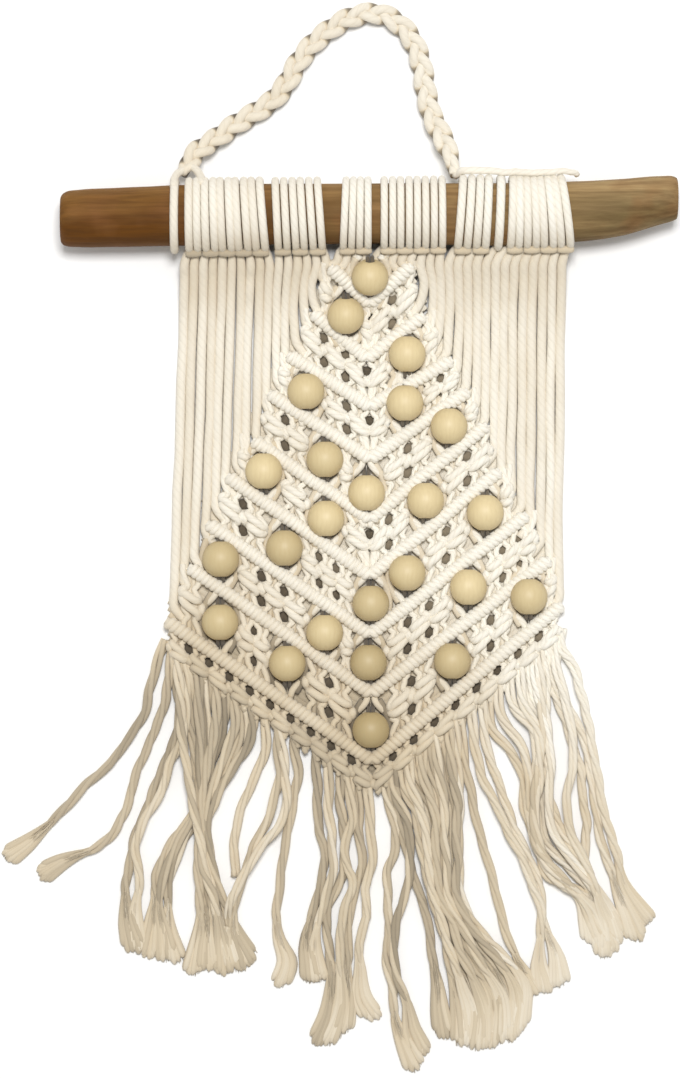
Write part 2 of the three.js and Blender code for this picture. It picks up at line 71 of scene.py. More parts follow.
# Rod: centre line and diameter along its length
RodSection = namedtuple("RodSection", "x y diameter")
ROD_SECTIONS = [
    RodSection(-99.8, -1.3, 14.5),
    RodSection(-99.2, -1.3, 16.4),
    RodSection(-98.0, -1.2, 17.7),
    RodSection(-94.0, -1.1, 18.6),
    RodSection(-81.0, -0.8, 19.2),
    RodSection(-65.0, -0.3, 19.6),
    RodSection(0.0, 0.4, 19.5),
    RodSection(68.0, 1.1, 19.6),
    RodSection(81.6, 2.4, 18.5),
    RodSection(94.6, 4.7, 15.6),
    RodSection(98.4, 5.2, 14.4),
    RodSection(99.5, 5.2, 13.4),
    RodSection(99.8, 5.2, 12.0),
]
ROD_RADIUS = 9.8
ROD_HEIGHT = 11.88
ROD_SIDES = 56
ROD_RING_SPACING = 1.2
ROD_UNEVEN = 0.16
# Lobes of the rod's section with their sizes, how they change along it, and where it gets bare of wraps
ROD_LOBES = ((1, 1.0), (2, 0.8), (3, 0.6), (5, 0.35))
ROD_LOBE_TURN = 1.2
ROD_TURN_WAVES = 7
ROD_LOBE_WAVES = 9
ROD_BARE_FROM = 66.0
ROD_BARE_TO = 72.0

# Lark's head wraps: each group's edges at the front and back of the rod, its wraps and its cord's radius
WrapGroup = namedtuple("WrapGroup", "front_from front_to back_from back_to wraps bight radius")
WRAP_GROUPS = [
    WrapGroup(-64.3, -61.7, -64.1, -61.6, 1, False, 1.36),
    WrapGroup(-59.5, -32.4, -59.5, -34.4, 10, True, 1.34),
    WrapGroup(-30.7, -13.8, -31.7, -15.5, 6, True, 1.24),
    WrapGroup(-9.6, 0.8, -8.5, 0.6, 4, True, 1.2),
    WrapGroup(3.6, 25.0, 3.6, 24.8, 8, True, 1.2),
    WrapGroup(27.6, 39.0, 29.4, 40.0, 4, True, 1.34),
    WrapGroup(40.5, 43.3, 41.6, 44.0, 1, True, 1.42),
    WrapGroup(44.4, 66.4, 45.4, 63.0, 8, True, 1.33),
]
WRAP_LOOSE = 0.11
WRAP_TONE = (0.04, 0.2)
# Painted shade: the wraps turn beiger towards the rod's side by the cloth, away from the lamp, between these
# shares
WRAP_LOW_PAINTED_SHADE = 0.3
WRAP_LOW_FROM = 0.3125
WRAP_LOW_TO = 0.9375
WRAP_RADIUS_UNDER = 1.02
WRAP_START = math.radians(-86)
WRAP_END = math.radians(256)
WRAP_STEPS = 46
WRAP_SINGLE_START = math.radians(-100)
# Bights: the bar that each pair of wraps has across its lower front, coloured full beige as painted shade
# under the rod
BIGHT_ANGLE = math.radians(-82)
BIGHT_RISE = 1.3
BIGHT_BEYOND = 1.25
BIGHT_ROUND = [0.6, 0.85, 0.97, 1.0, 1.0, 1.0, 0.97, 0.85, 0.6]
BIGHT_PAINTED_SHADE = 1.0

# Cloth: how high it leaves the rod, and where it comes to lie flat
CLOTH_TOP = -12.7
CLOTH_LIFT = 9.0
CLOTH_FLAT = -42.0

# V lines of double half hitches: outer ends and apex of each
Line = namedtuple("Line", "left_x left_y apex_x apex_y right_x right_y")
LINES = [
    Line(-12.0, -17.4, 0.0, -28.5, 13.2, -16.8),
    Line(-17.6, -31.9, -0.7, -46.2, 17.2, -32.7),
    Line(-25.7, -45.4, 0.3, -61.8, 26.3, -47.0),
    Line(-31.9, -57.9, 0.3, -78.9, 31.5, -57.2),
    Line(-37.1, -73.3, 0.3, -98.4, 37.7, -68.3),
    Line(-45.5, -84.9, 0.3, -117.0, 41.9, -83.2),
    Line(-52.0, -100.3, 0.3, -136.0, 50.7, -97.5),
    Line(-57.9, -114.5, 0.7, -155.2, 58.2, -112.0),
    Line(-65.3, -132.0, 1.0, -177.1, 62.1, -126.8),
]
HITCH_CORD_RADIUS = 1.15
HITCH_COIL_RADIUS = 1.3
HITCH_LENGTH = 3.6
HITCH_STEPS = 28
HITCH_TURNS = (-0.15, 1.65)
HITCH_MIDDLE = 0.75
HITCH_UNEVEN = 0.02
HITCH_TONE = (0.0, 0.1)
BAR_HEIGHT = 4.0
CORE_BEFORE = 0.5
CORE_BEYOND = 1.0
CORE_STEPS = 24

# Square knots in the bands between the V lines
KNOT_PITCH = 6.5
KNOT_BAND = 17.5
KNOT_CORD_RADIUS = 1.25
KNOT_BODY = 2.4
KNOT_STEM = 3.6
KNOT_STEM_SHARE = 0.76
KNOT_THINNEST = 0.65
KNOT_TURN = 0.025
KNOT_WIDTHS = (0.98, 1.03)
KNOT_HEIGHTS = (0.98, 1.02)
KNOT_TONE = (0.0, 0.2)
KNOT_SPACING = 0.9
KNOT_BEAD_CLEARANCE = 5.7
KNOT_LEAST_SPAN = 1.2
KNOT_LEAST_WIDTH = 0.42
# Points of the cords that a knot is tied with, as places across, up the cloth and above the floor
KNOT_LEFT_CORD = [
    (-2.2, 8.4, 3.0), (-2.2, 6.2, 3.0), (-1.6, 4.9, 3.0), (-0.8, 3.8, 3.2), (-1.5, 2.7, 3.4),
    (-2.2, 1.8, 4.3), (-1.2, 1.4, 5.0), (0.4, 1.3, 5.3), (2.0, 1.2, 4.5), (2.7, 0.4, 3.1),
    (2.3, -0.8, 3.9), (1.2, -1.3, 5.0), (-0.6, -1.4, 5.2), (-2.0, -1.6, 4.4), (-1.7, -2.6, 3.4),
    (-0.8, -3.8, 3.2), (-1.6, -4.9, 3.0), (-2.2, -6.2, 3.0), (-2.2, -8.4, 3.0),
]
KNOT_RIGHT_CORD = [
    (2.2, 8.4, 3.0), (2.2, 6.2, 3.0), (1.6, 4.9, 3.0), (0.8, 3.8, 3.2), (1.7, 2.7, 3.4), (2.6, 1.8, 4.2),
    (2.7, 0.9, 3.0), (1.8, 0.6, 1.6), (0.0, 0.5, 1.4), (-1.8, 0.5, 1.6), (-2.8, 0.8, 3.1), (-3.0, 0.0, 4.6),
    (-2.8, -0.8, 3.1), (-1.8, -1.2, 1.6), (0.0, -1.3, 1.4), (1.8, -1.6, 1.6), (1.9, -2.5, 3.0),
    (0.8, -3.8, 3.2), (1.6, -4.9, 3.0), (2.2, -6.2, 3.0), (2.2, -8.4, 3.0),
]
# Upper half of a cord that the knot is tied round
KNOT_FILLER = [(-0.8, 8.4, 1.8), (-0.7, 5.2, 1.7), (-0.5, 3.7, 1.8), (-0.9, 0.0, 3.1)]
# Cords that close the cloth behind its knots, as distances from the V lines, and those behind its holes
BACK_RADIUS = 1.3
BACK_FLAT = 0.5
BACK_FLOAT = 0.05
BACK_SPACING = 1.0
BACK_BEYOND = 2.0
BACK_LAST_BEYOND = -0.3
BACK_BEAD_CLEARANCE = 4.6
BACK_FROM_LINE = (2.9, 5.2, 7.4)
BACK_TONE = 0.35
# Round holes between neighbouring knots: how far from a knot's middle, their size, and the dark cords laid in
# them as painted shade
HOLE_UP = 0.217
HOLE_RADIUS = 1.3
HOLE_LEAST = 0.01
HOLE_PUSH_MOST = 1.1
HOLE_PAINTED_SHADE = 1.5
HOLE_SHADE_CORDS = [(-1.9, 1.0), (-1.1, 1.8), (0.0, 2.0), (1.1, 1.8), (1.9, 1.0)]
HOLE_SHADE_CORD_HEIGHT = 1.05
# Cord above an apex, as places across and up from the middle of its band, and its end from the apex below
APEX_CORD = [(2.4, -2.0, 3.4), (1.5, -4.4, 3.2), (1.0, 1.0, 3.0)]
APEX_CORD_RADIUS = 1.25
APEX_CORD_SPACING = 0.8
APEX_CORD_TONE = 0.1
# Last row of knots, from which the fringe hangs
HEM_ROW_DROP = 7.8
HEM_ROW_HEIGHT = 0.9
HEM_ROW_CUT = -5.2

# Hanging strands between the rod and the sloping edges of the knotted tree
STRAND_RADIUS = 1.57
STRAND_START_RADIUS = 1.2
STRAND_THICKNESS = (0.96, 1.06)
STRAND_GROW_POINTS = 6
STRAND_SPACING = 1.2
STRAND_STRAY = 0.2
STRAND_STRAY_ARC = 2.6
STRAND_SWAY = 0.2
STRAND_SWAY_POINTS = 4
STRAND_RISE = 0.3
STRAND_RISE_POINTS = 3
STRAND_TOP_LEFT = -59.7
STRAND_TOP_RIGHT = 62.6
STRAND_LOW_LEFT = -64.0
STRAND_LOW_RIGHT = 61.6
STRAND_LOW_Y = -138.0
STRAND_FLOAT = 0.3
STRAND_LEAN = 0.45
STRAND_BOW = 2.4
STRAND_BOW_REACH = 42.0
STRAND_TURN = 3.4
STRAND_BEND_Y = -15.5
STRAND_FIRST_DROP = 1.6
STRAND_FIRST_RISE = 1.2
STRAND_POINT_GAP = 4
STRAND_END_GAP = 1.5
STRAND_END_ROUNDS = 6
STRAND_TONE = (0.1, 0.3)
# Painted shadow of the rod on the strands just below it, and how far down it reaches
STRAND_TOP_PAINTED_SHADOW = 0.3
STRAND_PAINTED_SHADOW_REACH = 30.0
STRAND_RIGHT_TONE = 0.12

# Beads, with the numbers of those that are paler, greyer and darker than the rest
BEAD_COUNT = 24
PALE_BEADS = (3, 5, 7, 8, 9, 10, 11, 15, 19)
GREY_BEADS = (12, 13, 16, 20, 21, 22, 23)
DARK_BEADS = (18, 22)
BEAD_TONE = 0.39
BEAD_TONE_STEP = 0.19
BEAD_UNEVEN = 0.05
# Painted shade: each bead darker towards its sides and underside
BEAD_SIDES_PAINTED_SHADE = 0.32
BEAD_SIDE_POWER = 1.5
BEAD_RADIUS = 6.0
BEAD_BORE_RADIUS = 1.5
BEAD_LIP = 0.3
BEAD_LIP_OUT = 0.3
BEAD_LIP_IN = 0.25
BEAD_BORE_SHARES = (1.0, 0.5, 0.0, -0.5, -1.0)
BEAD_SIDES = 40
BEAD_ARC_STEPS = 22
BEAD_CORD_SPACING = 1.0
BEAD_CORD_RADIUS = 0.68
# Painted shade: the cords in the bores dark, those beside each bead beige
BEAD_BORE_PAINTED_SHADE = 1.65
BEAD_SIDE_RADIUS = 1.25
BEAD_SIDE_PAINTED_SHADE = 0.75
BEAD_COLLAR_RADIUS = 1.1
BEAD_COLLAR_TONE = 0.15
# Upper halves of the cords at a bead, as places across, up the cloth and above the bead's own height
BEAD_BORE_CORD = [(1.0, 10.0, -4.2), (0.8, 8.0, -4.0), (0.7, 6.6, -2.2), (0.7, 5.0, -0.1), (0.7, 0.0, 0.0)]
BEAD_SIDE_CORD = [(2.6, 9.6, -3.2), (4.5, 6.4, -3.6), (5.7, 3.0, -4.0), (6.1, 0.0, -4.2)]
BEAD_COLLAR_CORD = [
    (1.1, 11.0, -3.0), (1.3, 9.6, -2.5), (2.0, 8.3, -2.5), (3.1, 7.0, -3.0), (4.4, 5.8, -4.0),
]

# Fringe: each strand's route in pixels of the photograph, from the hem to its tip, with how many other
# strands it lies on and the length of its brushed end in millimetres
Strand = namedtuple("Strand", "level tuft points")
FRINGE_LEFT = [
    Strand(0, 22, [(165, 640), (155, 668), (150, 690), (146, 709), (134, 730), (115, 755), (92, 780),
        (69, 803), (46, 826), (25, 845), (7, 859)]),
    Strand(0, 20, [(172, 648), (169, 674), (164, 700), (161, 716), (147, 748), (135.5, 778), (129, 805),
        (115, 831), (96.5, 847), (73.5, 857), (55, 867), (40, 877)]),
    Strand(0, 24, [(178, 656), (177, 686), (179, 716), (172, 743), (164, 769), (152, 798), (138, 828),
        (131, 854), (124, 879), (125, 909), (130, 934), (135, 955)]),
    Strand(1, 24, [(184, 664), (186, 700), (182, 736), (170, 764), (161, 789), (142, 824), (135.5, 851),
        (140, 877), (135.5, 904), (138, 939), (139, 953)]),
    Strand(2, 24, [(178, 666), (181, 716), (184, 743), (188, 778), (194, 814), (200, 842), (204, 870),
        (211, 897), (220, 934), (226, 976)]),
    Strand(0, 0, [(265, 744), (254, 779), (239, 814), (233, 839), (236, 876)]),
    Strand(1, 24, [(278, 742), (278, 774), (272, 807), (262, 834), (257, 844), (240, 885), (232, 915),
        (240, 972)]),
    Strand(2, 10, [(279, 826), (264, 844), (249, 866), (234, 896), (227, 913), (222, 950)]),
    Strand(0, 28, [(294, 744), (298, 772), (292, 802), (287, 839), (282, 876), (278, 913), (279, 938),
        (288, 964), (281, 990)]),
    Strand(0, 24, [(316, 760), (319, 802), (319, 829), (326, 851), (324, 874), (314, 908), (306, 941),
        (309, 984)]),
    Strand(1, 22, [(329, 766), (331, 839), (334, 864), (324, 901), (316, 938), (317, 983)]),
    Strand(0, 30, [(341, 770), (341, 814), (344, 849), (341, 881), (329, 906), (326, 938), (331, 975),
        (329, 1013), (318, 1046)]),
    Strand(1, 30, [(349, 776), (351, 819), (344, 851), (354, 879), (344, 908), (339, 938), (341, 975),
        (339, 1013), (328, 1045)]),
    Strand(0, 28, [(359, 782), (360, 824), (363, 859), (356, 888), (349, 926), (346, 963), (349, 1000),
        (344, 1036)]),
    Strand(1, 26, [(368, 786), (371, 829), (372, 859), (366, 896), (361, 933), (360, 968), (363, 998),
        (376, 1021)]),
]
FRINGE_RIGHT = [
    Strand(0, 24, [(386, 790), (396, 829), (396, 849), (388, 871), (388, 901), (386, 926), (383, 953),
        (391, 988), (398, 1025), (415, 1072)]),
    Strand(1, 24, [(394, 790), (408, 826), (411, 859), (409, 879), (401, 903), (395, 928), (393, 950),
        (401, 988), (411, 1020), (422, 1056)]),
    Strand(0, 30, [(397, 790), (408, 850), (419, 892), (429, 923), (433, 962), (440, 1004), (446, 1040)]),
    Strand(1, 30, [(405, 786), (416, 814), (422, 850), (430, 892), (442, 934), (453, 976), (461, 1048)]),
    Strand(0, 30, [(416, 778), (428, 808), (432, 850), (436, 886), (447, 928), (464, 970), (477, 1004),
        (478, 1050)]),
    Strand(1, 30, [(430, 768), (439, 808), (440, 850), (444, 892), (461, 937), (478, 970), (492, 998),
        (493, 1049)]),
    Strand(0, 30, [(444, 748), (450, 797), (450, 850), (454, 898), (472, 937), (492, 965), (506, 993),
        (507, 1044)]),
    Strand(1, 28, [(456, 742), (461, 808), (460, 864), (464, 903), (484, 937), (503, 954), (524, 984),
        (519, 1036)]),
    Strand(2, 30, [(410, 782), (421, 811), (427, 850), (433, 889), (444, 930), (458, 973), (469, 1004),
        (469, 1049)]),
    Strand(2, 30, [(423, 772), (434, 808), (436, 850), (440, 890), (454, 932), (471, 972), (484, 1002),
        (486, 1049)]),
    Strand(2, 30, [(437, 756), (445, 800), (446, 850), (449, 895), (467, 937), (485, 968), (499, 996),
        (500, 1046)]),
    Strand(2, 28, [(450, 745), (456, 800), (456, 856), (460, 900), (478, 937), (498, 960), (514, 988),
        (513, 1040)]),
    Strand(0, 18, [(462, 738), (472, 797), (481, 836), (492, 878), (503, 920), (512, 948), (523, 970),
        (538, 997)]),
    Strand(1, 22, [(473, 732), (481, 772), (498, 808), (514, 844), (531, 881), (540, 906), (540, 942),
        (547, 994)]),
    Strand(0, 22, [(484, 726), (492, 772), (509, 808), (526, 853), (542, 892), (545, 920), (554, 948),
        (560, 988)]),
    Strand(0, 26, [(490, 722), (512, 752), (523, 774), (528, 808), (537, 842), (548, 875), (576, 892),
        (602, 936)]),
    Strand(1, 24, [(500, 712), (520, 744), (530, 778), (530, 812), (538, 846), (556, 878), (580, 898),
        (596, 944)]),
    Strand(2, 24, [(522, 696), (536, 728), (541, 768), (536, 812), (542, 850), (566, 882), (590, 906),
        (609, 950)]),
    Strand(0, 24, [(530, 690), (542, 724), (546, 764), (542, 808), (548, 842), (570, 868), (594, 896),
        (617, 946)]),
    Strand(1, 26, [(512, 702), (534, 735), (537, 780), (531, 822), (540, 853), (562, 884), (587, 900),
        (603, 952)]),
    Strand(2, 26, [(541, 684), (542, 752), (533, 808), (536, 842), (556, 872), (584, 904), (612, 950)]),
    Strand(2, 24, [(536, 686), (545, 720), (551, 762), (549, 806), (556, 838), (576, 866), (598, 895),
        (619, 945)]),
    Strand(2, 24, [(557, 668), (566, 705), (572, 745), (570, 790), (572, 830), (584, 864), (600, 900),
        (613, 955)]),
    Strand(1, 26, [(546, 680), (548, 766), (554, 808), (562, 836), (582, 864), (600, 894), (621, 944)]),
    Strand(0, 26, [(552, 676), (573, 738), (582, 780), (587, 819), (586, 864), (591, 892), (606, 960)]),
    Strand(1, 26, [(562, 650), (573, 664), (580, 692), (586, 724), (595, 764), (605, 814), (616, 856),
        (624, 884), (651, 925)]),
    Strand(0, 26, [(556, 670), (587, 752), (596, 808), (604, 847), (614, 876), (637, 942)]),
]
# The wide left lock: strands rooted along the hem that gather, then part into two brushed ends
LOCK_STRANDS = 8
LOCK_ROOTS = ((190, 692), (252, 736))
LOCK_WAIST = ((193, 812), (209, 816))
LOCK_BOW = (2.0, -6.0)
LOCK_PARTING = 3
LOCK_TUFT = 24
# Points of each end's first strand, and how far across and down from them its last strand's points are
LOCK_LEFT_END = [(172, 842, 10, 0), (159, 872, 12, 0), (152, 906, 14, 0), (150, 958, 26, 6)]
LOCK_RIGHT_END = [(198, 848, 12, 0), (200, 900, 22, 0), (193, 976, 56, -12)]
# Loose cords: their size, how they wander and lie on each other, and the plies that they part into
FRINGE_RADIUS = 1.62
FRINGE_SPACING = 1.3
FRINGE_FLOAT = 0.05
FRINGE_LEVEL = 1.7
FRINGE_ROOT_GAP = 1.0
FRINGE_ROOT_HEIGHT = 2.6
FRINGE_LOOSE = 4
FRINGE_WANDER = 0.45
FRINGE_WANDER_ALONG = 0.5
FRINGE_WAVE_POINTS = 8
FRINGE_RISE = 0.3
FRINGE_TONE = (-0.06, 0.27)
PLY_COUNT = 3
PLY_RADIUS = 0.88
PLY_OFFSET = 0.74
PLY_FLAT = 0.8
PLY_PARTING = 0.15
PLY_ROOT_PARTING = 0.4
PLY_ROOT_LENGTH = 38.0
PLY_LAY = (24.0, 44.0)
PLY_TONE = 0.12
PLY_SIDES = 7
PLY_FADING = 10
PLY_THINNEST = 0.25
PLY_LOWEST = 0.3
# Brushed ends: soft locks side by side, with fine fibres on them
TUFT_LOCKS = 9
TUFT_LOCK_RADIUS = 1.05
TUFT_LOCK_FLAT = 0.85
TUFT_LOCK_START = 0.3
TUFT_GROWN = 0.75
TUFT_STEPS = 14
TUFT_CROWDING = 1.7
TUFT_LEAST_POINTS = 5
TUFT_REACH = (0.96, 1.03)
TUFT_SIDES_SHORT = 0.08
TUFT_UNEVEN = 0.1
TUFT_LOWERED = 0.7
TUFT_PILE = 0.7
TUFT_ROOT = 0.8
TUFT_SPREAD = 2.5
TUFT_WIDENING = 1.3
TUFT_FULL_LENGTH = 20.0
TUFT_BLUNT = 0.1
TUFT_TIP = 0.97
TUFT_TONE = -0.1
TUFT_LOCK_TONE = 0.07
FIBRES_PER_TUFT = 46
FIBRE_TONE = 0.12
FIBRE_RADIUS = 0.13
FIBRE_SIDES = 3
FIBRE_STEPS = 8
FIBRE_LEAVE = 0.45
FIBRE_SPREAD = 0.6
FIBRE_SPREAD_MOST = 1.2
FIBRE_REACH = (0.86, 1.02)
FIBRE_CURL = 0.12
FIBRE_DOME = 0.55
FIBRE_DROP = 0.4
FIBRE_HEIGHT = (0.6, 1.05)

# Hanger: a three-strand plait along a slack arch, from the first wrap to the gap in the wraps
HANGER_ROUTE = [
    (-60.6, 13.5, 9.0), (-56.2, 20.5, 7.2), (-49.7, 25.4, 4.6), (-43.6, 29.9, 3.3), (-37.7, 33.5, 3.1),
    (-31.5, 37.7, 3.1), (-26.7, 43.6, 3.1), (-23.4, 49.7, 3.1), (-18.9, 55.6, 3.1), (-13.3, 60.5, 3.1),
    (-5.5, 65.0, 3.1), (3.6, 66.0, 3.1), (10.7, 62.0, 3.1), (15.0, 55.9, 3.1), (17.2, 49.1, 3.1),
    (18.5, 41.0, 3.2), (20.5, 32.8, 4.2), (24.0, 25.2, 7.2), (26.6, 18.6, 10.4), (27.7, 12.9, 11.8),
]
PLAIT_SPACING = 0.7
PLAIT_CORDS = 3
PLAIT_SIDES = 10
PLAIT_CORD_RADIUS = 1.6
PLAIT_SWING = 2.05
PLAIT_RISE = 1.1
PLAIT_LAY = 22.0
PLAIT_TONE = (0.32, 0.46)
# Painted shade where each plait cord dips under the others
PLAIT_UNDER_PAINTED_SHADE = 1.12
PLAIT_SHADE = 1.3
PLAIT_SHADE_FROM = -0.05
# How far from each end the plait is drawn in, and how narrow it gets there
PLAIT_NARROW_LEFT = 6.0
PLAIT_NARROW_RIGHT = 13.0
PLAIT_NARROWEST = 0.3
PLAIT_THINNEST = 0.75
# Loose ends of the plait's cords, tied to the first two groups of wraps
TIE_ROUTES = [
    [(-60.2, 14.6, 9.4), (-61.9, 13.4, 11.6), (-62.9, 11.4, 15.4), (-63.0, 8.4, 19.4)],
    [(-59.0, 16.6, 8.4), (-56.6, 15.2, 10.2), (-54.6, 12.6, 13.6), (-54.2, 9.6, 18.2)],
]
TIE_RADIUS = 1.3
TIE_SPACING = 0.8
TIE_TONE = 0.2
# Tail: the loose cord over the right wraps, with a tip that bends down
TAIL_ROUTE = [
    (31.2, 14.2, 15.2), (38.0, 13.9, 15.8), (46.0, 13.3, 17.2), (55.0, 13.4, 17.4), (65.6, 13.5, 17.4),
]
TAIL_TIP = [(66.6, 13.3, 16.8), (67.2, 12.4, 16.0)]
TAIL_RADIUS = 1.3
TAIL_SPACING = 1.0
TAIL_TAPER = 0.75
TAIL_WANDER = 0.2
TAIL_WAVES = 12
TAIL_TONE = 0.25

# Cords in general, and the twist, streaks, patches and fuzz of their cotton
UP = (0.0, 0.0, 1.0)
UP_CLOTH = (0.0, 1.0, 0.0)
STEEP = 0.9
CORD_SIDES = 8
TWIST_PLIES = 3
TWIST_LAY = 9.0
TWIST_ROUND = 0.6
STREAK_DRIFT = 0.12
STREAK_TONE = 0.5
STREAK_RELIEF = 0.495
PATCH_TONE = 0.45
FUZZ_RELIEF = 0.1925
# The cream turns to beige towards the fringe and a little towards the left, but less at the fringe's sides:
# partly the cords' own beige and partly painted shade, darker lower down and to the left
BEIGE_FROM_Y = -112.0
BEIGE_TO_Y = -182.0
BEIGE_BELOW = 0.92
BEIGE_TILT = 0.2
BEIGE_FROM_X = 20.0
BEIGE_TO_X = -60.0
BEIGE_LEFT_PAINTED_SHADE = 0.22
PALE_LEFT = 0.75
PALE_FROM_Y = -150.0
PALE_TO_Y = -195.0
PALE_FROM_X = 25.0
PALE_TO_X = 65.0
PALE_RIGHT = 0.22
PALE_EARLY = 2.5
# Painted shade: how much darker cords get in the cloth's holes, and between which heights over its underside
CLOTH_PAINTED_SHADE = 0.6
DEEP_FROM = 3.4
DEEP_TO = 1.5
DEEP_END = 0.7
DEEP_UNDERSIDE = 0.2

# Colours, those of the rod and the floor in pairs between which they change
COTTON_CREAM = (0.91, 0.875, 0.785, 1)
COTTON_BEIGE = (0.64, 0.54, 0.385, 1)
# Painted shade: the dark of holes, bores and plait crossings, and the shade in the twist's grooves
COTTON_PAINTED_SHADE = (0.075, 0.056, 0.035, 1)
COTTON_GROOVE_SHADE = (0.55, 0.46, 0.33, 1)
# The rod's pairs serve both its paler and darker grain bands and painted light and shade across its sides
ROD_PALE_AND_LIT = ((0.31, 0.155, 0.042, 1), (0.48, 0.33, 0.155, 1))
ROD_DARK_AND_SHADED = ((0.135, 0.05, 0.006, 1), (0.20, 0.14, 0.058, 1))
ROD_SPOT = (0.27, 0.115, 0.04, 1)
ROD_FLECK = (0.055, 0.024, 0.008, 1)
BEAD_PALE = (0.84, 0.70, 0.415, 1)
BEAD_GREY = (0.44, 0.345, 0.175, 1)
BEAD_RING = (0.50, 0.35, 0.17, 1)
BEAD_FLECK = (0.48, 0.32, 0.14, 1)
FLOOR_WHITES = ((0.93, 0.93, 0.93, 1), (0.96, 0.96, 0.955, 1))
# Lengths of the rod's red and olive ends, and the stage, in metres
ROD_RED_LENGTH = 0.03
ROD_OLIVE_LENGTH = 0.02
FLOOR_REACH = 6.0
FLOOR_HEIGHT = -0.0003
LAMP_PLACE = (0.05, 0.47, 1.85)
LAMP_SIZE = 0.45
LAMP_POWER = 26.5
ROOM_COLOUR = (1.0, 0.99, 0.97, 1)
ROOM_STRENGTH = 0.49


# Shapes

def from_photo(pixels):
    """Places in millimetres of points read from the photograph."""
    x, y = np.asarray(pixels, float).T
    return np.stack([x - PIXEL_AT_ZERO[0], PIXEL_AT_ZERO[1] - y], axis=1) * MM_PER_PIXEL


def to_frame(points):
    """The same points in the frame, in metres."""
    return (np.asarray(points, float) + SHIFT) / 1000


def unit(vectors):
    return vectors / np.linalg.norm(vectors, axis=-1, keepdims=True)


def between(first, last, share):
    """The value at a share of the way from the first to the last."""
    return first + (last - first) * share


def smoothstep(value):
    share = np.clip(value, 0.0, 1.0)
    return share * share * (3 - 2 * share)


def eased(value, start, end):
    """A soft step from 0 where the value is the start to 1 where it is the end."""
    return smoothstep((value - start) / (end - start))


def distances(paths):
    """How far along its path each point is."""
    steps = np.linalg.norm(np.diff(paths, axis=-2), axis=-1)
    return np.concatenate([np.zeros_like(steps[..., :1]), np.cumsum(steps, axis=-1)], axis=-1)


def smooth(points, spacing):
    """Evenly spaced points on a soft curve through the given ones."""
    points = np.asarray(points, float)
    at = distances(points)
    slope = np.gradient(points, at, axis=0)
    s = np.linspace(0.0, at[-1], max(3, int(round(at[-1] / spacing)) + 1))
    i = np.clip(np.searchsorted(at, s, side="right") - 1, 0, len(at) - 2)
    h = (at[i + 1] - at[i])[:, None]
    u = (s - at[i])[:, None] / h
    start = (2 * u**3 - 3 * u**2 + 1) * points[i] + (u**3 - 2 * u**2 + u) * h * slope[i]
    end = (3 * u**2 - 2 * u**3) * points[i + 1] + (u**3 - u**2) * h * slope[i + 1]
    return start + end


def path_axes(path):
    """Directions across a path and above it."""
    ahead = unit(np.gradient(path, axis=0))
    across = unit(np.cross(ahead, UP))
    return across, np.cross(across, ahead)


def cord_axes(paths):
    """Two directions across each cord, carried along it without a twist."""
    ahead = unit(np.gradient(paths, axis=1))
    side = np.empty_like(paths)
    steep = np.abs(ahead[:, :1, 2:]) > STEEP
    side[:, 0] = unit(np.cross(np.where(steep, UP_CLOTH, UP), ahead[:, :1]))[:, 0]
    for i in range(1, paths.shape[1]):
        lean = side[:, i - 1] - (side[:, i - 1] * ahead[:, i]).sum(-1, keepdims=True) * ahead[:, i]
        side[:, i] = unit(lean)
    return side, np.cross(ahead, side)


def swung(first, second, angle):
    """Two coordinates turned by an angle."""
    cos, sin = math.cos(angle), math.sin(angle)
    return first * cos - second * sin, first * sin + second * cos


def mirrored(half):
    """A way down the cloth whose lower half mirrors the given upper one."""
    half = np.array(half)
    return np.concatenate([half, half[-2::-1] * (1, -1, 1)])


def round_angles(sides):
    return np.linspace(0, 2 * math.pi, sides, endpoint=False)


def ring_quads(rings, after):
    """Faces from rings of points to the rings after them."""
    return np.stack([rings, np.roll(rings, -1, -1), np.roll(after, -1, -1), after], axis=-1).reshape(-1, 4)


def wander(count, scale, waves):
    """A slow random drift of count values, about scale in size."""
    knots = rng.normal(0.0, scale, max(4, int(waves) + 3))
    places = np.linspace(0, len(knots) - 1, count)
    return np.interp(places, np.arange(len(knots)), knots)


def lift(y):
    """Height of the cloth's underside: it leaves the rod and comes down to the floor."""
    share = np.clip((np.asarray(y) - CLOTH_FLAT) / (CLOTH_TOP - CLOTH_FLAT), 0, 1)
    return CLOTH_LIFT * share**2


def beige(points):
    """How far the cream has turned to beige at these places, from the cords' own colour and from painted
    shade.
    """
    x, y = points[..., 0], points[..., 1]
    share = (y + BEIGE_TILT * x - BEIGE_FROM_Y) / (BEIGE_TO_Y - BEIGE_FROM_Y)
    left = eased(x, BEIGE_FROM_X, BEIGE_TO_X) * (1 - PALE_LEFT * eased(y, PALE_FROM_Y, PALE_TO_Y))
    right = eased(x, PALE_FROM_X, PALE_TO_X) * smoothstep(PALE_EARLY * share)
    return BEIGE_BELOW * smoothstep(share) + BEIGE_LEFT_PAINTED_SHADE * left - PALE_RIGHT * right


def hole_shade_share(points):
    """How far these places are down in the cloth's holes, seen from its face: the share of painted shade that
    they get.
    """
    height = points[..., 2] - lift(points[..., 1])
    return eased(height, DEEP_FROM, DEEP_TO) * eased(height, DEEP_UNDERSIDE, DEEP_END)


def new_object(name, data):
    """An object that is linked to the scene."""
    made = bpy.data.objects.new(name, data)
    bpy.context.scene.collection.objects.link(made)
    return made


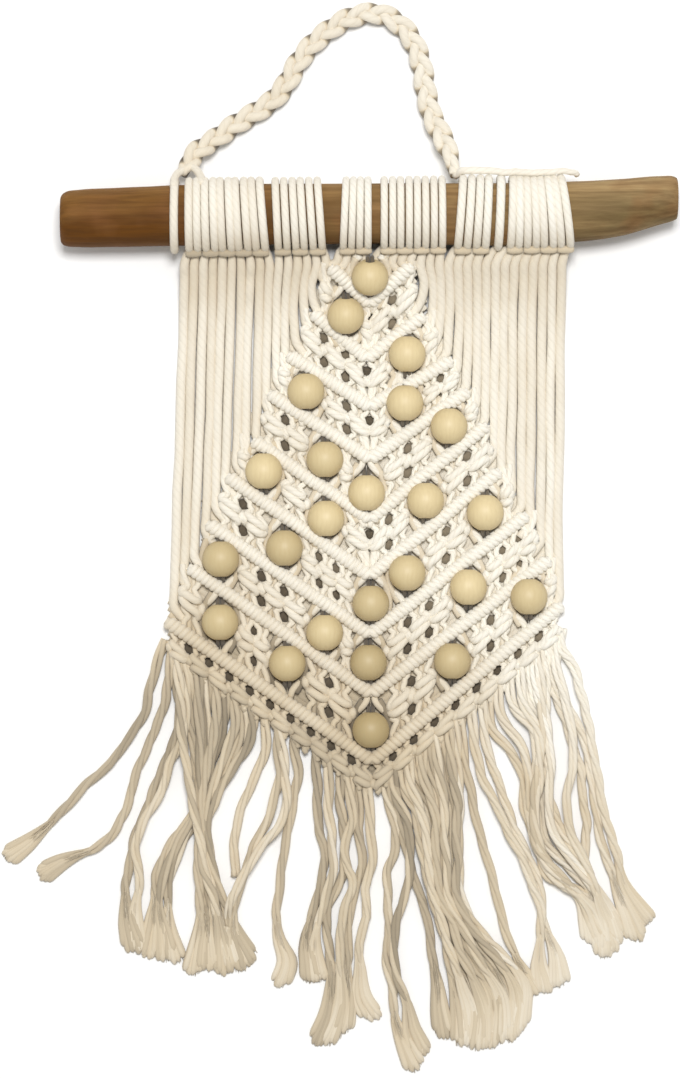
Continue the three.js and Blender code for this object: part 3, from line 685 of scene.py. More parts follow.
def mesh_piece(name, points, quads, caps, material, attributes):
    """A mesh in the frame that rides the part's one body."""
    mesh = bpy.data.meshes.new(name)
    mesh.vertices.add(len(points))
    mesh.vertices.foreach_set("co", to_frame(points).astype(np.float32).ravel())
    faces = [quads, *caps]
    loops = np.concatenate([rows.ravel() for rows in faces])
    sizes = np.concatenate([np.full(len(rows), rows.shape[1]) for rows in faces])
    mesh.loops.add(len(loops))
    mesh.loops.foreach_set("vertex_index", loops.astype(np.int32))
    mesh.polygons.add(len(sizes))
    mesh.polygons.foreach_set("loop_start", (np.cumsum(sizes) - sizes).astype(np.int32))
    for label, values in attributes.items():
        kind, field = ("FLOAT_VECTOR", "vector") if values.ndim == 2 else ("FLOAT", "value")
        made = mesh.attributes.new(label, kind, "POINT")
        made.data.foreach_set(field, values.astype(np.float32).ravel())
    mesh.update(calc_edges=True)
    mesh.validate()
    mesh.materials.append(material)
    piece = new_object(name, mesh)
    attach(piece, "root")
    return piece


class Cords:
    """Round cords that become one mesh. Each point keeps its place round and along its cord."""

    def __init__(self):
        self.points = []
        self.quads = []
        self.caps = {}
        self.marks = []
        self.tones = []
        self.count = 0

    def add(self, paths, radius, sides=CORD_SIDES, tone=0.0, twist=1.0, flat=1.0, deep=0.0):
        """Adds one cord along a path, or several along paths with as many points each."""
        paths = np.asarray(paths, float)
        if paths.ndim == 2:
            paths = paths[None]
        cords, steps, _ = paths.shape
        radius = np.broadcast_to(np.asarray(radius, float), (cords, steps))[..., None, None]
        turn = round_angles(sides)
        cos, sin = np.cos(turn), np.sin(turn)
        side, other = cord_axes(paths)
        ring = cos[:, None] * side[:, :, None] + flat * sin[:, None] * other[:, :, None]
        points = paths[:, :, None] + radius * ring
        along = distances(paths) + rng.uniform(0, TWIST_LAY, (cords, 1))
        marks = np.stack(np.broadcast_arrays(cos, sin, twist * along[..., None]), axis=-1)
        tone = np.asarray(tone, float)
        tones = tone.reshape(tone.shape + (1,) * (3 - tone.ndim)) + beige(points) + deep * hole_shade_share(points)
        index = self.count + np.arange(cords * steps * sides).reshape(cords, steps, sides)
        self.points.append(points.reshape(-1, 3))
        self.marks.append(marks.reshape(-1, 3))
        self.tones.append(tones.reshape(-1))
        self.quads.append(ring_quads(index[:, :-1], index[:, 1:]))
        self.caps.setdefault(sides, []).extend([index[:, 0, ::-1], index[:, -1]])
        self.count += index.size

    def piece(self, name, *nodes):
        """The cords as one piece that stands for these nodes."""
        caps = [np.concatenate(rows) for rows in self.caps.values()]
        made = mesh_piece(
            name, np.concatenate(self.points), np.concatenate(self.quads), caps, cotton,
            {"cord": np.concatenate(self.marks), "tone": np.concatenate(self.tones)},
        )
        if nodes:
            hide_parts(*nodes)
        return made


# Materials

class Shading:
    """A material's node tree, with short ways to add to it. Each gives the output that it makes."""

    def __init__(self, name):
        self.material = bpy.data.materials.new(name)
        self.material.use_nodes = True
        self.tree = self.material.node_tree

    def feed(self, node, inputs):
        """Sets or links a node's inputs, each by its name or by its number as in i0."""
        for key, value in inputs.items():
            socket = node.inputs[int(key[1:])] if key[1:].isdigit() else node.inputs[key.replace("_", " ")]
            if isinstance(value, bpy.types.NodeSocket):
                self.tree.links.new(value, socket)
            else:
                socket.default_value = value

    def add(self, kind, settings=None, output=0, **inputs):
        node = self.tree.nodes.new("ShaderNode" + kind)
        for key, value in (settings or {}).items():
            setattr(node, key, value)
        self.feed(node, inputs)
        return node.outputs[output]

    def maths(self, operation, first, second=0.0, clamp=False):
        return self.add("Math", {"operation": operation, "use_clamp": clamp}, i0=first, i1=second)

    def times(self, first, second):
        return self.maths("MULTIPLY", first, second)

    def plus(self, first, second, clamp=False):
        return self.maths("ADD", first, second, clamp)

    def mixed(self, share, first, second):
        return self.add("Mix", {"data_type": "RGBA"}, 2, i0=share, i6=first, i7=second)

    def ramp(self, value, start, end, first, last):
        """A value that goes from first to last as another goes from start to end."""
        return self.add("MapRange", Value=value, i1=start, i2=end, i3=first, i4=last)

    def attribute(self, name, output):
        return self.add("Attribute", {"attribute_name": name}, output)

    def place(self):
        return self.add("TexCoord", None, "Object")

    def split(self, vector):
        """The three numbers of a vector."""
        return self.add("SeparateXYZ", i0=vector).node.outputs

    def stretched(self, place, *scale):
        return self.add("Mapping", Vector=place, Scale=scale)

    def noise(self, place, **inputs):
        return self.add("TexNoise", None, "Fac", Vector=place, **inputs)

    def uneven(self, noise, size):
        """A noise about zero."""
        return self.times(self.maths("SUBTRACT", noise, 0.5), size)

    def bump(self, height, strength, distance):
        return self.add("Bump", Strength=strength, Distance=distance, Height=height)

    def surface(self, **inputs):
        """The material, with these inputs of its surface."""
        self.feed(self.tree.nodes["Principled BSDF"], inputs)
        return self.material


def cotton_material():
    """Twisted cotton cord: plies that wind along it, fine fibres and a slightly uneven cream, with painted
    shade in the grooves between plies and a painted dark shade where the tone runs past full beige.
    """
    made = Shading("cotton")
    cos, sin, along = made.split(made.attribute("cord", "Vector"))
    tone = made.attribute("tone", "Fac")
    place = made.place()
    lane = made.plus(made.maths("ARCTAN2", sin, cos), made.times(along, 2 * math.pi / TWIST_LAY))
    wave = made.maths("COSINE", made.times(lane, TWIST_PLIES / 2))
    ply = made.maths("POWER", made.maths("ABSOLUTE", wave), TWIST_ROUND)
    lanes = made.add(
        "CombineXYZ", i0=made.maths("COSINE", lane), i1=made.maths("SINE", lane),
        i2=made.times(along, STREAK_DRIFT),
    )
    streaks = made.noise(lanes, Scale=5.0, Detail=4.0, Roughness=0.65)
    fuzz = made.noise(place, Scale=2600.0, Detail=3.0, Roughness=0.65)
    patches = made.noise(place, Scale=55.0, Detail=2.0)
    uneven = made.plus(made.uneven(patches, PATCH_TONE), made.uneven(streaks, STREAK_TONE))
    shade = made.plus(uneven, tone, clamp=True)
    colour = made.mixed(shade, COTTON_CREAM, COTTON_BEIGE)
    # Tones past full beige give the dark colour of painted shade
    colour = made.mixed(made.ramp(tone, 0.95, 1.7, 0.0, 0.95), colour, COTTON_PAINTED_SHADE)
    # Painted shade in the grooves between the plies
    groove_shade = made.times(made.ramp(ply, 0.0, 0.8, 1.0, 0.0), made.ramp(shade, 0.0, 0.8, 0.2, 0.06))
    colour = made.mixed(groove_shade, colour, COTTON_GROOVE_SHADE)
    fibres = made.plus(made.times(streaks, STREAK_RELIEF), made.times(fuzz, FUZZ_RELIEF))
    height = made.plus(made.times(ply, made.ramp(shade, 0.0, 0.8, 1.0, 0.35)), fibres)
    return made.surface(
        Base_Color=colour, Roughness=0.95, Sheen_Weight=0.2, Sheen_Roughness=0.6,
        Normal=made.bump(height, 0.6, 0.00025),
    )


def rod_material():
    """Brown wood with a fine lengthwise grain, redder at the left and olive at the right, with painted light
    on the side towards the lamp and painted shade on the side by the cloth.
    """
    made = Shading("rod_wood")
    place = made.place()
    grain = made.noise(made.stretched(place, 9.0, 160.0, 160.0), Scale=4.0, Detail=6.0, Roughness=0.65)
    bands = made.noise(made.stretched(place, 6.0, 45.0, 45.0), Scale=2.2, Detail=3.0, Distortion=0.4)
    spots = made.noise(place, Scale=75.0, Detail=2.0)
    along, up, _ = made.split(place)
    low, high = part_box("rod")
    middle = (low.y + high.y) / 2
    reach = ROD_RADIUS / 1000
    olive = made.ramp(along, low.x + ROD_RED_LENGTH, high.x - ROD_OLIVE_LENGTH, 0.0, 1.0)
    # Painted light on the side towards the loop and the lamp, painted shade on the side by the cloth
    painted_lit_side = made.ramp(up, middle - 0.2 * reach, middle + reach, -0.2, 0.9)
    share = made.plus(painted_lit_side, made.ramp(bands, 0.3, 0.7, -0.2, 0.7), clamp=True)
    colour = made.mixed(share, made.mixed(olive, *ROD_DARK_AND_SHADED), made.mixed(olive, *ROD_PALE_AND_LIT))
    colour = made.mixed(made.ramp(spots, 0.5, 0.68, 0.0, 0.4), colour, ROD_SPOT)
    colour = made.mixed(made.ramp(grain, 0.35, 0.7, 0.5, 0.0), colour, ROD_FLECK)
    return made.surface(
        Base_Color=colour, Specular_IOR_Level=0.12, Roughness=made.ramp(grain, 0.0, 1.0, 0.78, 0.55),
        Normal=made.bump(grain, 0.5, 0.0004),
    )


def bead_material():
    """Pale turned wood with faint rings, a little different from bead to bead, and darker towards its sides
    with painted shade.
    """
    made = Shading("bead_wood")
    place = made.place()
    grain = made.noise(made.stretched(place, 420.0, 60.0, 420.0), Scale=2.4, Detail=5.0, Roughness=0.6)
    rings = made.add(
        "TexWave", {"wave_type": "BANDS", "bands_direction": "X"}, "Fac", Vector=place, Scale=210.0,
        Distortion=6.0, Detail=2.0,
    )
    colour = made.mixed(made.attribute("tone", "Fac"), BEAD_PALE, BEAD_GREY)
    colour = made.mixed(made.ramp(rings, 0.55, 1.0, 0.0, 0.07), colour, BEAD_RING)
    colour = made.mixed(made.ramp(grain, 0.4, 0.75, 0.14, 0.0), colour, BEAD_FLECK)
    return made.surface(Base_Color=colour, Roughness=0.5, Normal=made.bump(grain, 0.25, 0.00015))


def floor_material():
    """Pale paper with a barely uneven white."""
    made = Shading("pale_floor")
    cloud = made.noise(made.place(), Scale=6.0, Detail=2.0)
    colour = made.mixed(cloud, *FLOOR_WHITES)
    return made.surface(Base_Color=colour, Roughness=0.9, Specular_IOR_Level=0.1)


# Camera

def aim_camera():
    """A camera straight above that frames what the photograph frames."""
    middle = from_photo([(PHOTO_WIDTH / 2, PHOTO_HEIGHT / 2)])[0]
    camera = new_object("camera", bpy.data.cameras.new("camera"))
    camera.location = Vector(to_frame((*middle, CAMERA_HEIGHT)))
    camera.data.sensor_fit = "VERTICAL"
    camera.data.sensor_height = SENSOR_HEIGHT
    camera.data.lens = SENSOR_HEIGHT * (CAMERA_HEIGHT - FACE_HEIGHT) / (PHOTO_HEIGHT * MM_PER_PIXEL)
    camera.data.clip_end = CAMERA_REACH
    bpy.context.scene.camera = camera


# Hanger and its tail

def hanger_piece():
    """The plait: three cords that swing from side to side and over each other along the route."""
    route = smooth(HANGER_ROUTE, PLAIT_SPACING)
    across, above = path_axes(route)
    along = distances(route)
    drawn = np.minimum(along / PLAIT_NARROW_LEFT, (along[-1] - along) / PLAIT_NARROW_RIGHT)
    spread = between(PLAIT_NARROWEST, 1.0, smoothstep(drawn))
    radius = PLAIT_CORD_RADIUS * between(PLAIT_THINNEST, 1.0, spread)
    plait = Cords()
    for strand in range(PLAIT_CORDS):
        phase = 2 * math.pi * (along / PLAIT_LAY + strand / PLAIT_CORDS)
        swing = (PLAIT_SWING * spread * np.sin(phase))[:, None]
        rise = (PLAIT_RISE * np.sin(2 * phase))[:, None]
        path = route + swing * across + rise * above
        path[:, 2] = np.maximum(path[:, 2], PLAIT_CORD_RADIUS)
        # Painted shade where the cord dips under the others
        under = smoothstep(PLAIT_SHADE * (PLAIT_SHADE_FROM - np.sin(2 * phase)))
        tone = rng.uniform(*PLAIT_TONE) + PLAIT_UNDER_PAINTED_SHADE * under
        plait.add(path, radius, sides=PLAIT_SIDES, tone=tone[None])
    piece = plait.piece("hanger_plait", "hanger")
    to_frame(route[0])
    to_frame(route)


def tie_piece():
    """The ends of the plait's cords, over the back of the rod."""
    ties = Cords()
    for route in TIE_ROUTES:
        ties.add(smooth(route, TIE_SPACING), TIE_RADIUS, tone=TIE_TONE)
    ties.piece("hanger_ties")


def tail_piece():
    """The loose cord from the plait's end along the back of the wraps."""
    tail = Cords()
    path = smooth([HANGER_ROUTE[-1], *TAIL_ROUTE, *TAIL_TIP], TAIL_SPACING)
    path[:, 1] += wander(len(path), TAIL_WANDER, TAIL_WAVES)
    tail.add(path, TAIL_RADIUS * np.linspace(1.0, TAIL_TAPER, len(path)), tone=TAIL_TONE)
    tail.piece("tail_cord", "hanger_tail")


# Rod and wraps

def rod_piece():
    """The rod, a little uneven where it is bare, with its cut ends."""
    spine = smooth(ROD_SECTIONS, ROD_RING_SPACING)
    rings = len(spine)
    turn = round_angles(ROD_SIDES)
    bumps = np.zeros((rings, ROD_SIDES))
    for lobes, scale in ROD_LOBES:
        phase = wander(rings, ROD_LOBE_TURN, ROD_TURN_WAVES)[:, None]
        bumps += wander(rings, scale, ROD_LOBE_WAVES)[:, None] * np.cos(lobes * turn + phase)
    bare = eased(np.abs(spine[:, :1]), ROD_BARE_FROM, ROD_BARE_TO)
    radius = spine[:, 2:] / 2 + ROD_UNEVEN * bumps * bare
    points = np.stack([
        np.broadcast_to(spine[:, :1], radius.shape),
        spine[:, 1:2] - radius * np.sin(turn),
        ROD_HEIGHT + radius * np.cos(turn),
    ], axis=-1)
    index = np.arange(rings * ROD_SIDES).reshape(rings, ROD_SIDES)
    quads = ring_quads(index[:-1], index[1:])
    caps = [np.stack([index[0, ::-1], index[-1]])]
    piece = mesh_piece("rod_wood", points.reshape(-1, 3), quads, caps, rod_material(), {})
    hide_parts("rod")


def rod_centre(x):
    return np.interp(x, [row.x for row in ROD_SECTIONS], [row.y for row in ROD_SECTIONS])


def turn_path(front, back, thick, start):
    """A wrap's way round the rod, from the bight over the front and the back to where its strand hangs."""
    angle = np.linspace(start, WRAP_END, WRAP_STEPS)
    under = np.maximum(0.0, -np.cos(angle)) ** 3
    radius = between(thick, WRAP_RADIUS_UNDER, under)
    reach = ROD_RADIUS + radius
    x = between(front, back, (1 + np.sin(angle)) / 2)
    path = np.stack([x, rod_centre(x) + reach * np.sin(angle), ROD_HEIGHT + reach * np.cos(angle)], axis=1)
    return path, radius


def wrap_places(group):
    """Front and back places of each wrap of a group, slightly uneven."""
    share = (np.arange(group.wraps) + 0.5) / group.wraps
    loose = rng.normal(0, WRAP_LOOSE, group.wraps)
    front = between(group.front_from, group.front_to, share)
    back = between(group.back_from, group.back_to, share)
    return front + loose, back + loose


def wrap_pieces():
    """Every group of wraps, and where its strands leave the rod."""
    exits = []
    for number, group in enumerate(WRAP_GROUPS, 1):
        turns = Cords()
        front, back = wrap_places(group)
        start = WRAP_START if group.wraps > 1 else WRAP_SINGLE_START
        reach = ROD_RADIUS + group.radius
        for i in range(group.wraps):
            path, radius = turn_path(front[i], back[i], group.radius, start)
            # Painted shade on each wrap's side towards the cloth
            low = eased((rod_centre(path[:, 0]) - path[:, 1]) / reach, WRAP_LOW_FROM, WRAP_LOW_TO)
            turns.add(path, radius, tone=(rng.uniform(*WRAP_TONE) + WRAP_LOW_PAINTED_SHADE * low)[None])
            if group.bight:
                exits.append(path[-1])
        away = reach + BIGHT_RISE
        for i in range(0, group.wraps - 1, 2):
            x = np.linspace(front[i] - BIGHT_BEYOND, front[i + 1] + BIGHT_BEYOND, len(BIGHT_ROUND))
            y = rod_centre(x) + away * math.sin(BIGHT_ANGLE)
            z = np.full(len(x), ROD_HEIGHT + away * math.cos(BIGHT_ANGLE))
            turns.add(np.stack([x, y, z], axis=1), group.radius * np.array(BIGHT_ROUND), tone=BIGHT_PAINTED_SHADE)
        turns.piece(f"wrap_turns_{number}", f"wraps_{number}")
    return np.array(exits)


# Cloth

def line_y(line, x):
    """Height up the cloth of a V line at x, carried straight on past its ends."""
    end_x, end_y = (line.left_x, line.left_y) if x < line.apex_x else (line.right_x, line.right_y)
    return between(line.apex_y, end_y, (x - line.apex_x) / (end_x - line.apex_x))


def tree_edge(x):
    """Where a strand at x meets the sloping edge of the knotted tree."""
    first = LINES[0]
    if first.left_x < x < first.right_x:
        return line_y(first, x)
    if x < 0:
        return np.interp(x, [line.left_x for line in LINES[::-1]], [line.left_y for line in LINES[::-1]])
    return np.interp(x, [line.right_x for line in LINES], [line.right_y for line in LINES])


def strand_x(top, low, y):
    """A strand's place across at y on its straight way down."""
    return between(top, low, (CLOTH_TOP - y) / (CLOTH_TOP - STRAND_LOW_Y))


def strand_path(start, top, low):
    """A strand's way from its wrap to the tree's edge, where it turns in behind the knots."""
    end = LINES[0].left_y
    for _ in range(STRAND_END_ROUNDS):
        end = tree_edge(strand_x(top, low, end))
    count = max(3, int((STRAND_BEND_Y - end) / STRAND_POINT_GAP))
    y = np.linspace(STRAND_BEND_Y, end + STRAND_END_GAP, count)
    inward = -np.sign(top)
    bow = STRAND_BOW * max(0.0, 1 - abs(top) / STRAND_BOW_REACH)
    x = strand_x(top, low, y) - inward * bow * np.sin(np.linspace(0, math.pi, count))
    stray = rng.normal(0, STRAND_STRAY) + wander(count, STRAND_SWAY, count / STRAND_SWAY_POINTS)
    x += stray * np.sin(np.linspace(0, STRAND_STRAY_ARC, count))
    height = STRAND_FLOAT + STRAND_RADIUS
    z = lift(y) + height + np.abs(wander(count, STRAND_RISE, count / STRAND_RISE_POINTS))
    first = (between(start[0], x[0], STRAND_LEAN), start[1] - STRAND_FIRST_DROP, start[2] + STRAND_FIRST_RISE)
    last = (x[-1] + inward * STRAND_TURN, end - STRAND_TURN, lift(end) + height)
    return smooth([start, first, *np.stack([x, y, z], axis=1), last], STRAND_SPACING)


def strand_piece(exits):
    """Strands from the wraps to the tree's edges, evenly spread soon below the rod."""
    strands = Cords()
    tops = np.linspace(STRAND_TOP_LEFT, STRAND_TOP_RIGHT, len(exits))
    lows = np.linspace(STRAND_LOW_LEFT, STRAND_LOW_RIGHT, len(exits))
    for start, top, low in zip(exits, tops, lows):
        path = strand_path(start, top, low)
        grown = smoothstep(np.linspace(0, len(path) / STRAND_GROW_POINTS, len(path)))
        radius = between(STRAND_START_RADIUS, STRAND_RADIUS, grown)
        tone = rng.uniform(*STRAND_TONE) + STRAND_RIGHT_TONE * (top > 0)
        # Painted shadow of the rod near the strands' tops
        tone = tone + STRAND_TOP_PAINTED_SHADOW * smoothstep(1 - (CLOTH_TOP - path[:, 1]) / STRAND_PAINTED_SHADOW_REACH)
        strands.add(path, radius * rng.uniform(*STRAND_THICKNESS), tone=tone[None])
    strands.piece("hanging_strands", "panel")


def hitch_paths(line, side):
    """Double half hitches along one arm of a V line, and the cord that they hold."""
    apex = np.array([line.apex_x, line.apex_y])
    end = np.array([line.left_x, line.left_y] if side < 0 else [line.right_x, line.right_y])
    length = np.linalg.norm(end - apex)
    ahead = (end - apex) / length
    above = np.array([-ahead[1], ahead[0]]) * side
    cords = int(round(length / HITCH_LENGTH))
    turns = np.linspace(*HITCH_TURNS, HITCH_STEPS)
    turn = turns * 2 * math.pi
    along = (np.arange(cords)[:, None] + 0.5 + (turns - HITCH_MIDDLE) / 2) * length / cords
    sway = HITCH_COIL_RADIUS * np.cos(turn) * (1 + rng.normal(0, HITCH_UNEVEN, (cords, 1)))
    flat = apex + along[..., None] * ahead + sway[..., None] * above
    z = BAR_HEIGHT + HITCH_COIL_RADIUS * np.sin(turn) + lift(flat[..., 1])
    core = apex + np.linspace(-CORE_BEFORE, length + CORE_BEYOND, CORE_STEPS)[:, None] * ahead
    core = np.column_stack([core, BAR_HEIGHT + lift(core[:, 1])])
    return np.concatenate([flat, z[..., None]], axis=-1), core


def bar_piece():
    """The nine V lines of hitches."""
    bars = Cords()
    for line in LINES:
        for side in (-1, 1):
            hitches, core = hitch_paths(line, side)
            tone = rng.uniform(*HITCH_TONE, len(hitches))
            bars.add(hitches, HITCH_CORD_RADIUS, tone=tone, deep=CLOTH_PAINTED_SHADE)
            bars.add(core, HITCH_COIL_RADIUS, deep=CLOTH_PAINTED_SHADE)
    bars.piece("hitch_bars", "panel")


def bead_places():
    """Each bead's centre in the part's own millimetres, from its solid."""
    places = []
    for number in range(1, BEAD_COUNT + 1):
        low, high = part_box(f"bead_{number:02d}")
        places.append(np.array((low + high) / 2) * 1000 - SHIFT)
    return np.array(places)


def free_spans(length, stops):
    """Stretches of an arm that its beads leave free, as distances from the apex."""
    start = 0.0
    for stop in sorted(stops):
        if stop - KNOT_BEAD_CLEARANCE - start > KNOT_LEAST_SPAN:
            yield start, stop - KNOT_BEAD_CLEARANCE
        start = max(start, stop + KNOT_BEAD_CLEARANCE)
    if length - start > KNOT_LEAST_SPAN:
        yield start, length


def knot_runs(beads):
    """Runs of knots between two lines: the lines, the side, the run's start, its pitch and its count."""
    for upper, lower in zip(LINES, LINES[1:]):
        held = [x for x, y, _ in beads if line_y(lower, x) < y < line_y(upper, x)]
        for side in (-1, 1):
            reach = (upper.left_x + lower.left_x) / 2 if side < 0 else (upper.right_x + lower.right_x) / 2
            stops = [side * (x - upper.apex_x) for x in held]
            for first, last in free_spans(abs(reach - upper.apex_x), stops):
                knots = max(1, round((last - first) / KNOT_PITCH))
                yield upper, lower, side, first, (last - first) / knots, knots


def knot_places(beads):
    """Place, width, height and slant of each square knot in the bands between the lines."""
    for upper, lower, side, first, pitch, knots in knot_runs(beads):
        wide = max(KNOT_LEAST_WIDTH, pitch / KNOT_PITCH)
        for step in range(knots):
            x = upper.apex_x + side * (first + pitch * (step + 0.5))
            top, bottom = line_y(upper, x), line_y(lower, x)
            slant = (top - upper.apex_y) / (x - upper.apex_x)
            yield x, (top + bottom) / 2, wide, (top - bottom) / KNOT_BAND, slant


def hem_places():
    """Place, width, height and slant of each knot in the last row, close under the last line."""
    line = LINES[-1]
    for side, end in ((-1, line.left_x), (1, line.right_x)):
        length = abs(end - line.apex_x)
        knots = round(length / KNOT_PITCH)
        for step in range(knots):
            x = line.apex_x + side * length / knots * (step + 0.5)
            slant = (line_y(line, x) - line.apex_y) / (x - line.apex_x)
            yield x, line_y(line, x) - HEM_ROW_DROP, length / knots / KNOT_PITCH, HEM_ROW_HEIGHT, slant


def hole_places(beads):
    """Middle and size of each small hole between neighbouring knots."""
    for upper, lower, side, first, pitch, knots in knot_runs(beads):
        for step in range(0 if first == 0 else 1, knots):
            x = upper.apex_x + side * (first + pitch * step)
            top, bottom = line_y(upper, x), line_y(lower, x)
            for up in (HOLE_UP, -HOLE_UP) if step > 0 else (HOLE_UP,):
                yield x, (top + bottom) / 2 + up * (top - bottom), min(1.0, pitch / KNOT_PITCH)
    places = list(hem_places())
    for (x, y, *_), (after_x, after_y, *_) in zip(places, places[1:]):
        if abs(after_x - x) < 2 * KNOT_PITCH:
            up = HOLE_UP * KNOT_BAND * HEM_ROW_HEIGHT
            yield (x + after_x) / 2, (y + after_y) / 2 + up, 1.0


def part_round(path, radius, holes):
    """Pushes a cord aside where it would narrow a round hole."""
    offset = path[:, None, :2] - holes[:, :2]
    away = np.linalg.norm(offset, axis=2)
    nearest = away.argmin(axis=1)
    rows = np.arange(len(path))
    near = np.maximum(away[rows, nearest], HOLE_LEAST)
    push = np.clip(HOLE_RADIUS * holes[nearest, 2] + radius - near, 0.0, HOLE_PUSH_MOST)
    path[:, :2] += offset[rows, nearest] / near[:, None] * push[:, None]


def tie_knot(knots, holes, x, y, wide, tall, slant, lowest=-math.inf):
    """Adds one square knot: two cords tied round two others."""
    turn = rng.normal(0, KNOT_TURN)
    size = np.array([wide * rng.uniform(*KNOT_WIDTHS), tall * rng.uniform(*KNOT_HEIGHTS), 1.0])
    size[0] *= rng.choice([-1.0, 1.0])
    tone = rng.uniform(*KNOT_TONE)
    radius = KNOT_CORD_RADIUS * between(KNOT_THINNEST, 1.0, tall)
    filler = mirrored(KNOT_FILLER)
    for points in (np.array(KNOT_LEFT_CORD), np.array(KNOT_RIGHT_CORD), filler, filler * (-1, 1, 1)):
        points = points[points[:, 1] > lowest] * size
        points[:, 0], points[:, 1] = swung(points[:, 0], points[:, 1], turn)
        path = smooth(points, KNOT_SPACING)
        stem = eased(np.abs(path[:, 1]) / tall, KNOT_BODY, KNOT_STEM)
        thick = radius * between(1.0, KNOT_STEM_SHARE, stem)
        path[:, 1] += y + slant * path[:, 0]
        path[:, 0] += x
        part_round(path, thick, holes)
        path[:, 2] += lift(path[:, 1])
        knots.add(path, thick, tone=tone, deep=CLOTH_PAINTED_SHADE)


def knot_piece(beads):
    """Square knots in the bands and in the last row."""
    knots = Cords()
    holes = np.array(list(hole_places(beads)))
    for place in knot_places(beads):
        tie_knot(knots, holes, *place)
    for place in hem_places():
        tie_knot(knots, holes, *place, lowest=HEM_ROW_CUT)
    knots.piece("square_knots", "panel")


def back_paths(line, drop, beads):
    """Paths behind the cloth at a distance below a V line, broken where they would meet a bead."""
    beyond = BACK_LAST_BEYOND if line is LINES[-1] else BACK_BEYOND
    x = np.arange(line.left_x - beyond, line.right_x + beyond, BACK_SPACING)
    y = np.array([line_y(line, place) for place in x]) - drop
    path = np.stack([x, y, BACK_FLAT * BACK_RADIUS + BACK_FLOAT + lift(y)], axis=1)
    clear = np.hypot(x[:, None] - beads[:, 0], y[:, None] - beads[:, 1]).min(axis=1) > BACK_BEAD_CLEARANCE
    breaks = np.flatnonzero(np.diff(clear)) + 1
    for run, kept in zip(np.split(path, breaks), np.split(clear, breaks)):
        if kept[0] and len(run) > 2:
            yield run


def apex_paths(beads):
    """Pairs of cords that close the cloth between two apexes where there is no bead."""
    for upper, lower in zip(LINES, LINES[1:]):
        beside = upper.apex_x + KNOT_PITCH / 2
        y = (line_y(upper, beside) + line_y(lower, beside)) / 2
        if np.hypot(beads[:, 0] - upper.apex_x, beads[:, 1] - y).min() < BEAD_RADIUS:
            continue
        for side in (-1, 1):
            way = np.array(APEX_CORD) * (side, 1, 1)
            way[:-1] += (upper.apex_x, y, 0)
            way[-1] += (lower.apex_x, lower.apex_y, 0)
            way[:, 2] += lift(way[:, 1])
            yield smooth(way, APEX_CORD_SPACING)


def back_piece(beads):
    """Cords that cross behind the knots along each line's sides, dark cords in its holes as painted shade,
    and cords above each apex.
    """
    back = Cords()
    for number, line in enumerate(LINES):
        for side in (1, -1) if number > 0 else (1,):
            for drop in BACK_FROM_LINE:
                for path in back_paths(line, side * drop, beads):
                    back.add(path, BACK_RADIUS, tone=BACK_TONE, flat=BACK_FLAT)
    # Dark cords in the holes as painted shade
    across, radius = np.array(HOLE_SHADE_CORDS).T
    for x, y, _ in hole_places(beads):
        bottom = np.array([x, y, HOLE_SHADE_CORD_HEIGHT + lift(y)]) + across[:, None] * (1, 0, 0)
        back.add(bottom, radius, tone=HOLE_PAINTED_SHADE, flat=BACK_FLAT)
    for path in apex_paths(beads):
        back.add(path, APEX_CORD_RADIUS, tone=APEX_CORD_TONE, deep=CLOTH_PAINTED_SHADE)
    back.piece("back_cords", "panel")


def bead_tilt(y):
    """How steeply the cloth rises under a bead at y."""
    return (lift(y + BEAD_RADIUS) - lift(y - BEAD_RADIUS)) / (2 * BEAD_RADIUS)


def bead_cord_piece(beads):
    """The cords through each bead, those that part round it, and its collars above and below; the first two
    are darkened as painted shade.
    """
    collar = np.array(BEAD_COLLAR_CORD)
    routes = (
        (mirrored(BEAD_BORE_CORD), BEAD_CORD_RADIUS, BEAD_BORE_PAINTED_SHADE),
        (mirrored(BEAD_SIDE_CORD), BEAD_SIDE_RADIUS, BEAD_SIDE_PAINTED_SHADE),
        (collar, BEAD_COLLAR_RADIUS, BEAD_COLLAR_TONE),
        (collar * (1, -1, 1), BEAD_COLLAR_RADIUS, BEAD_COLLAR_TONE),
    )
    cords = Cords()
    for x, y, z in beads:
        for route, radius, tone in routes:
            for side in (-1, 1):
                way = route * (side, 1, 1) + (x, y, z)
                way[:, 2] += (way[:, 1] - y) * bead_tilt(y)
                below = way[way[:, 1] < CLOTH_TOP]
                cords.add(smooth(below, BEAD_CORD_SPACING), radius, tone=tone, deep=CLOTH_PAINTED_SHADE)
    cords.piece("bead_cords", "panel")


def bead_profile():
    """Half a bead's section, round its outside and back through its bore, as distance out and place along."""
    lip_angle = math.acos((BEAD_BORE_RADIUS + BEAD_LIP) / BEAD_RADIUS)
    half = BEAD_RADIUS * math.sin(lip_angle)
    arc = np.linspace(-lip_angle, lip_angle, BEAD_ARC_STEPS)
    outside = [(BEAD_RADIUS * math.cos(angle), BEAD_RADIUS * math.sin(angle)) for angle in arc]
    lip, lip_end = BEAD_BORE_RADIUS + BEAD_LIP_OUT * BEAD_LIP, half - BEAD_LIP_IN * BEAD_LIP
    bore = [(BEAD_BORE_RADIUS, share * (half - BEAD_LIP)) for share in BEAD_BORE_SHARES]
    return np.array([*outside, (lip, lip_end), *bore, (lip, -lip_end)])


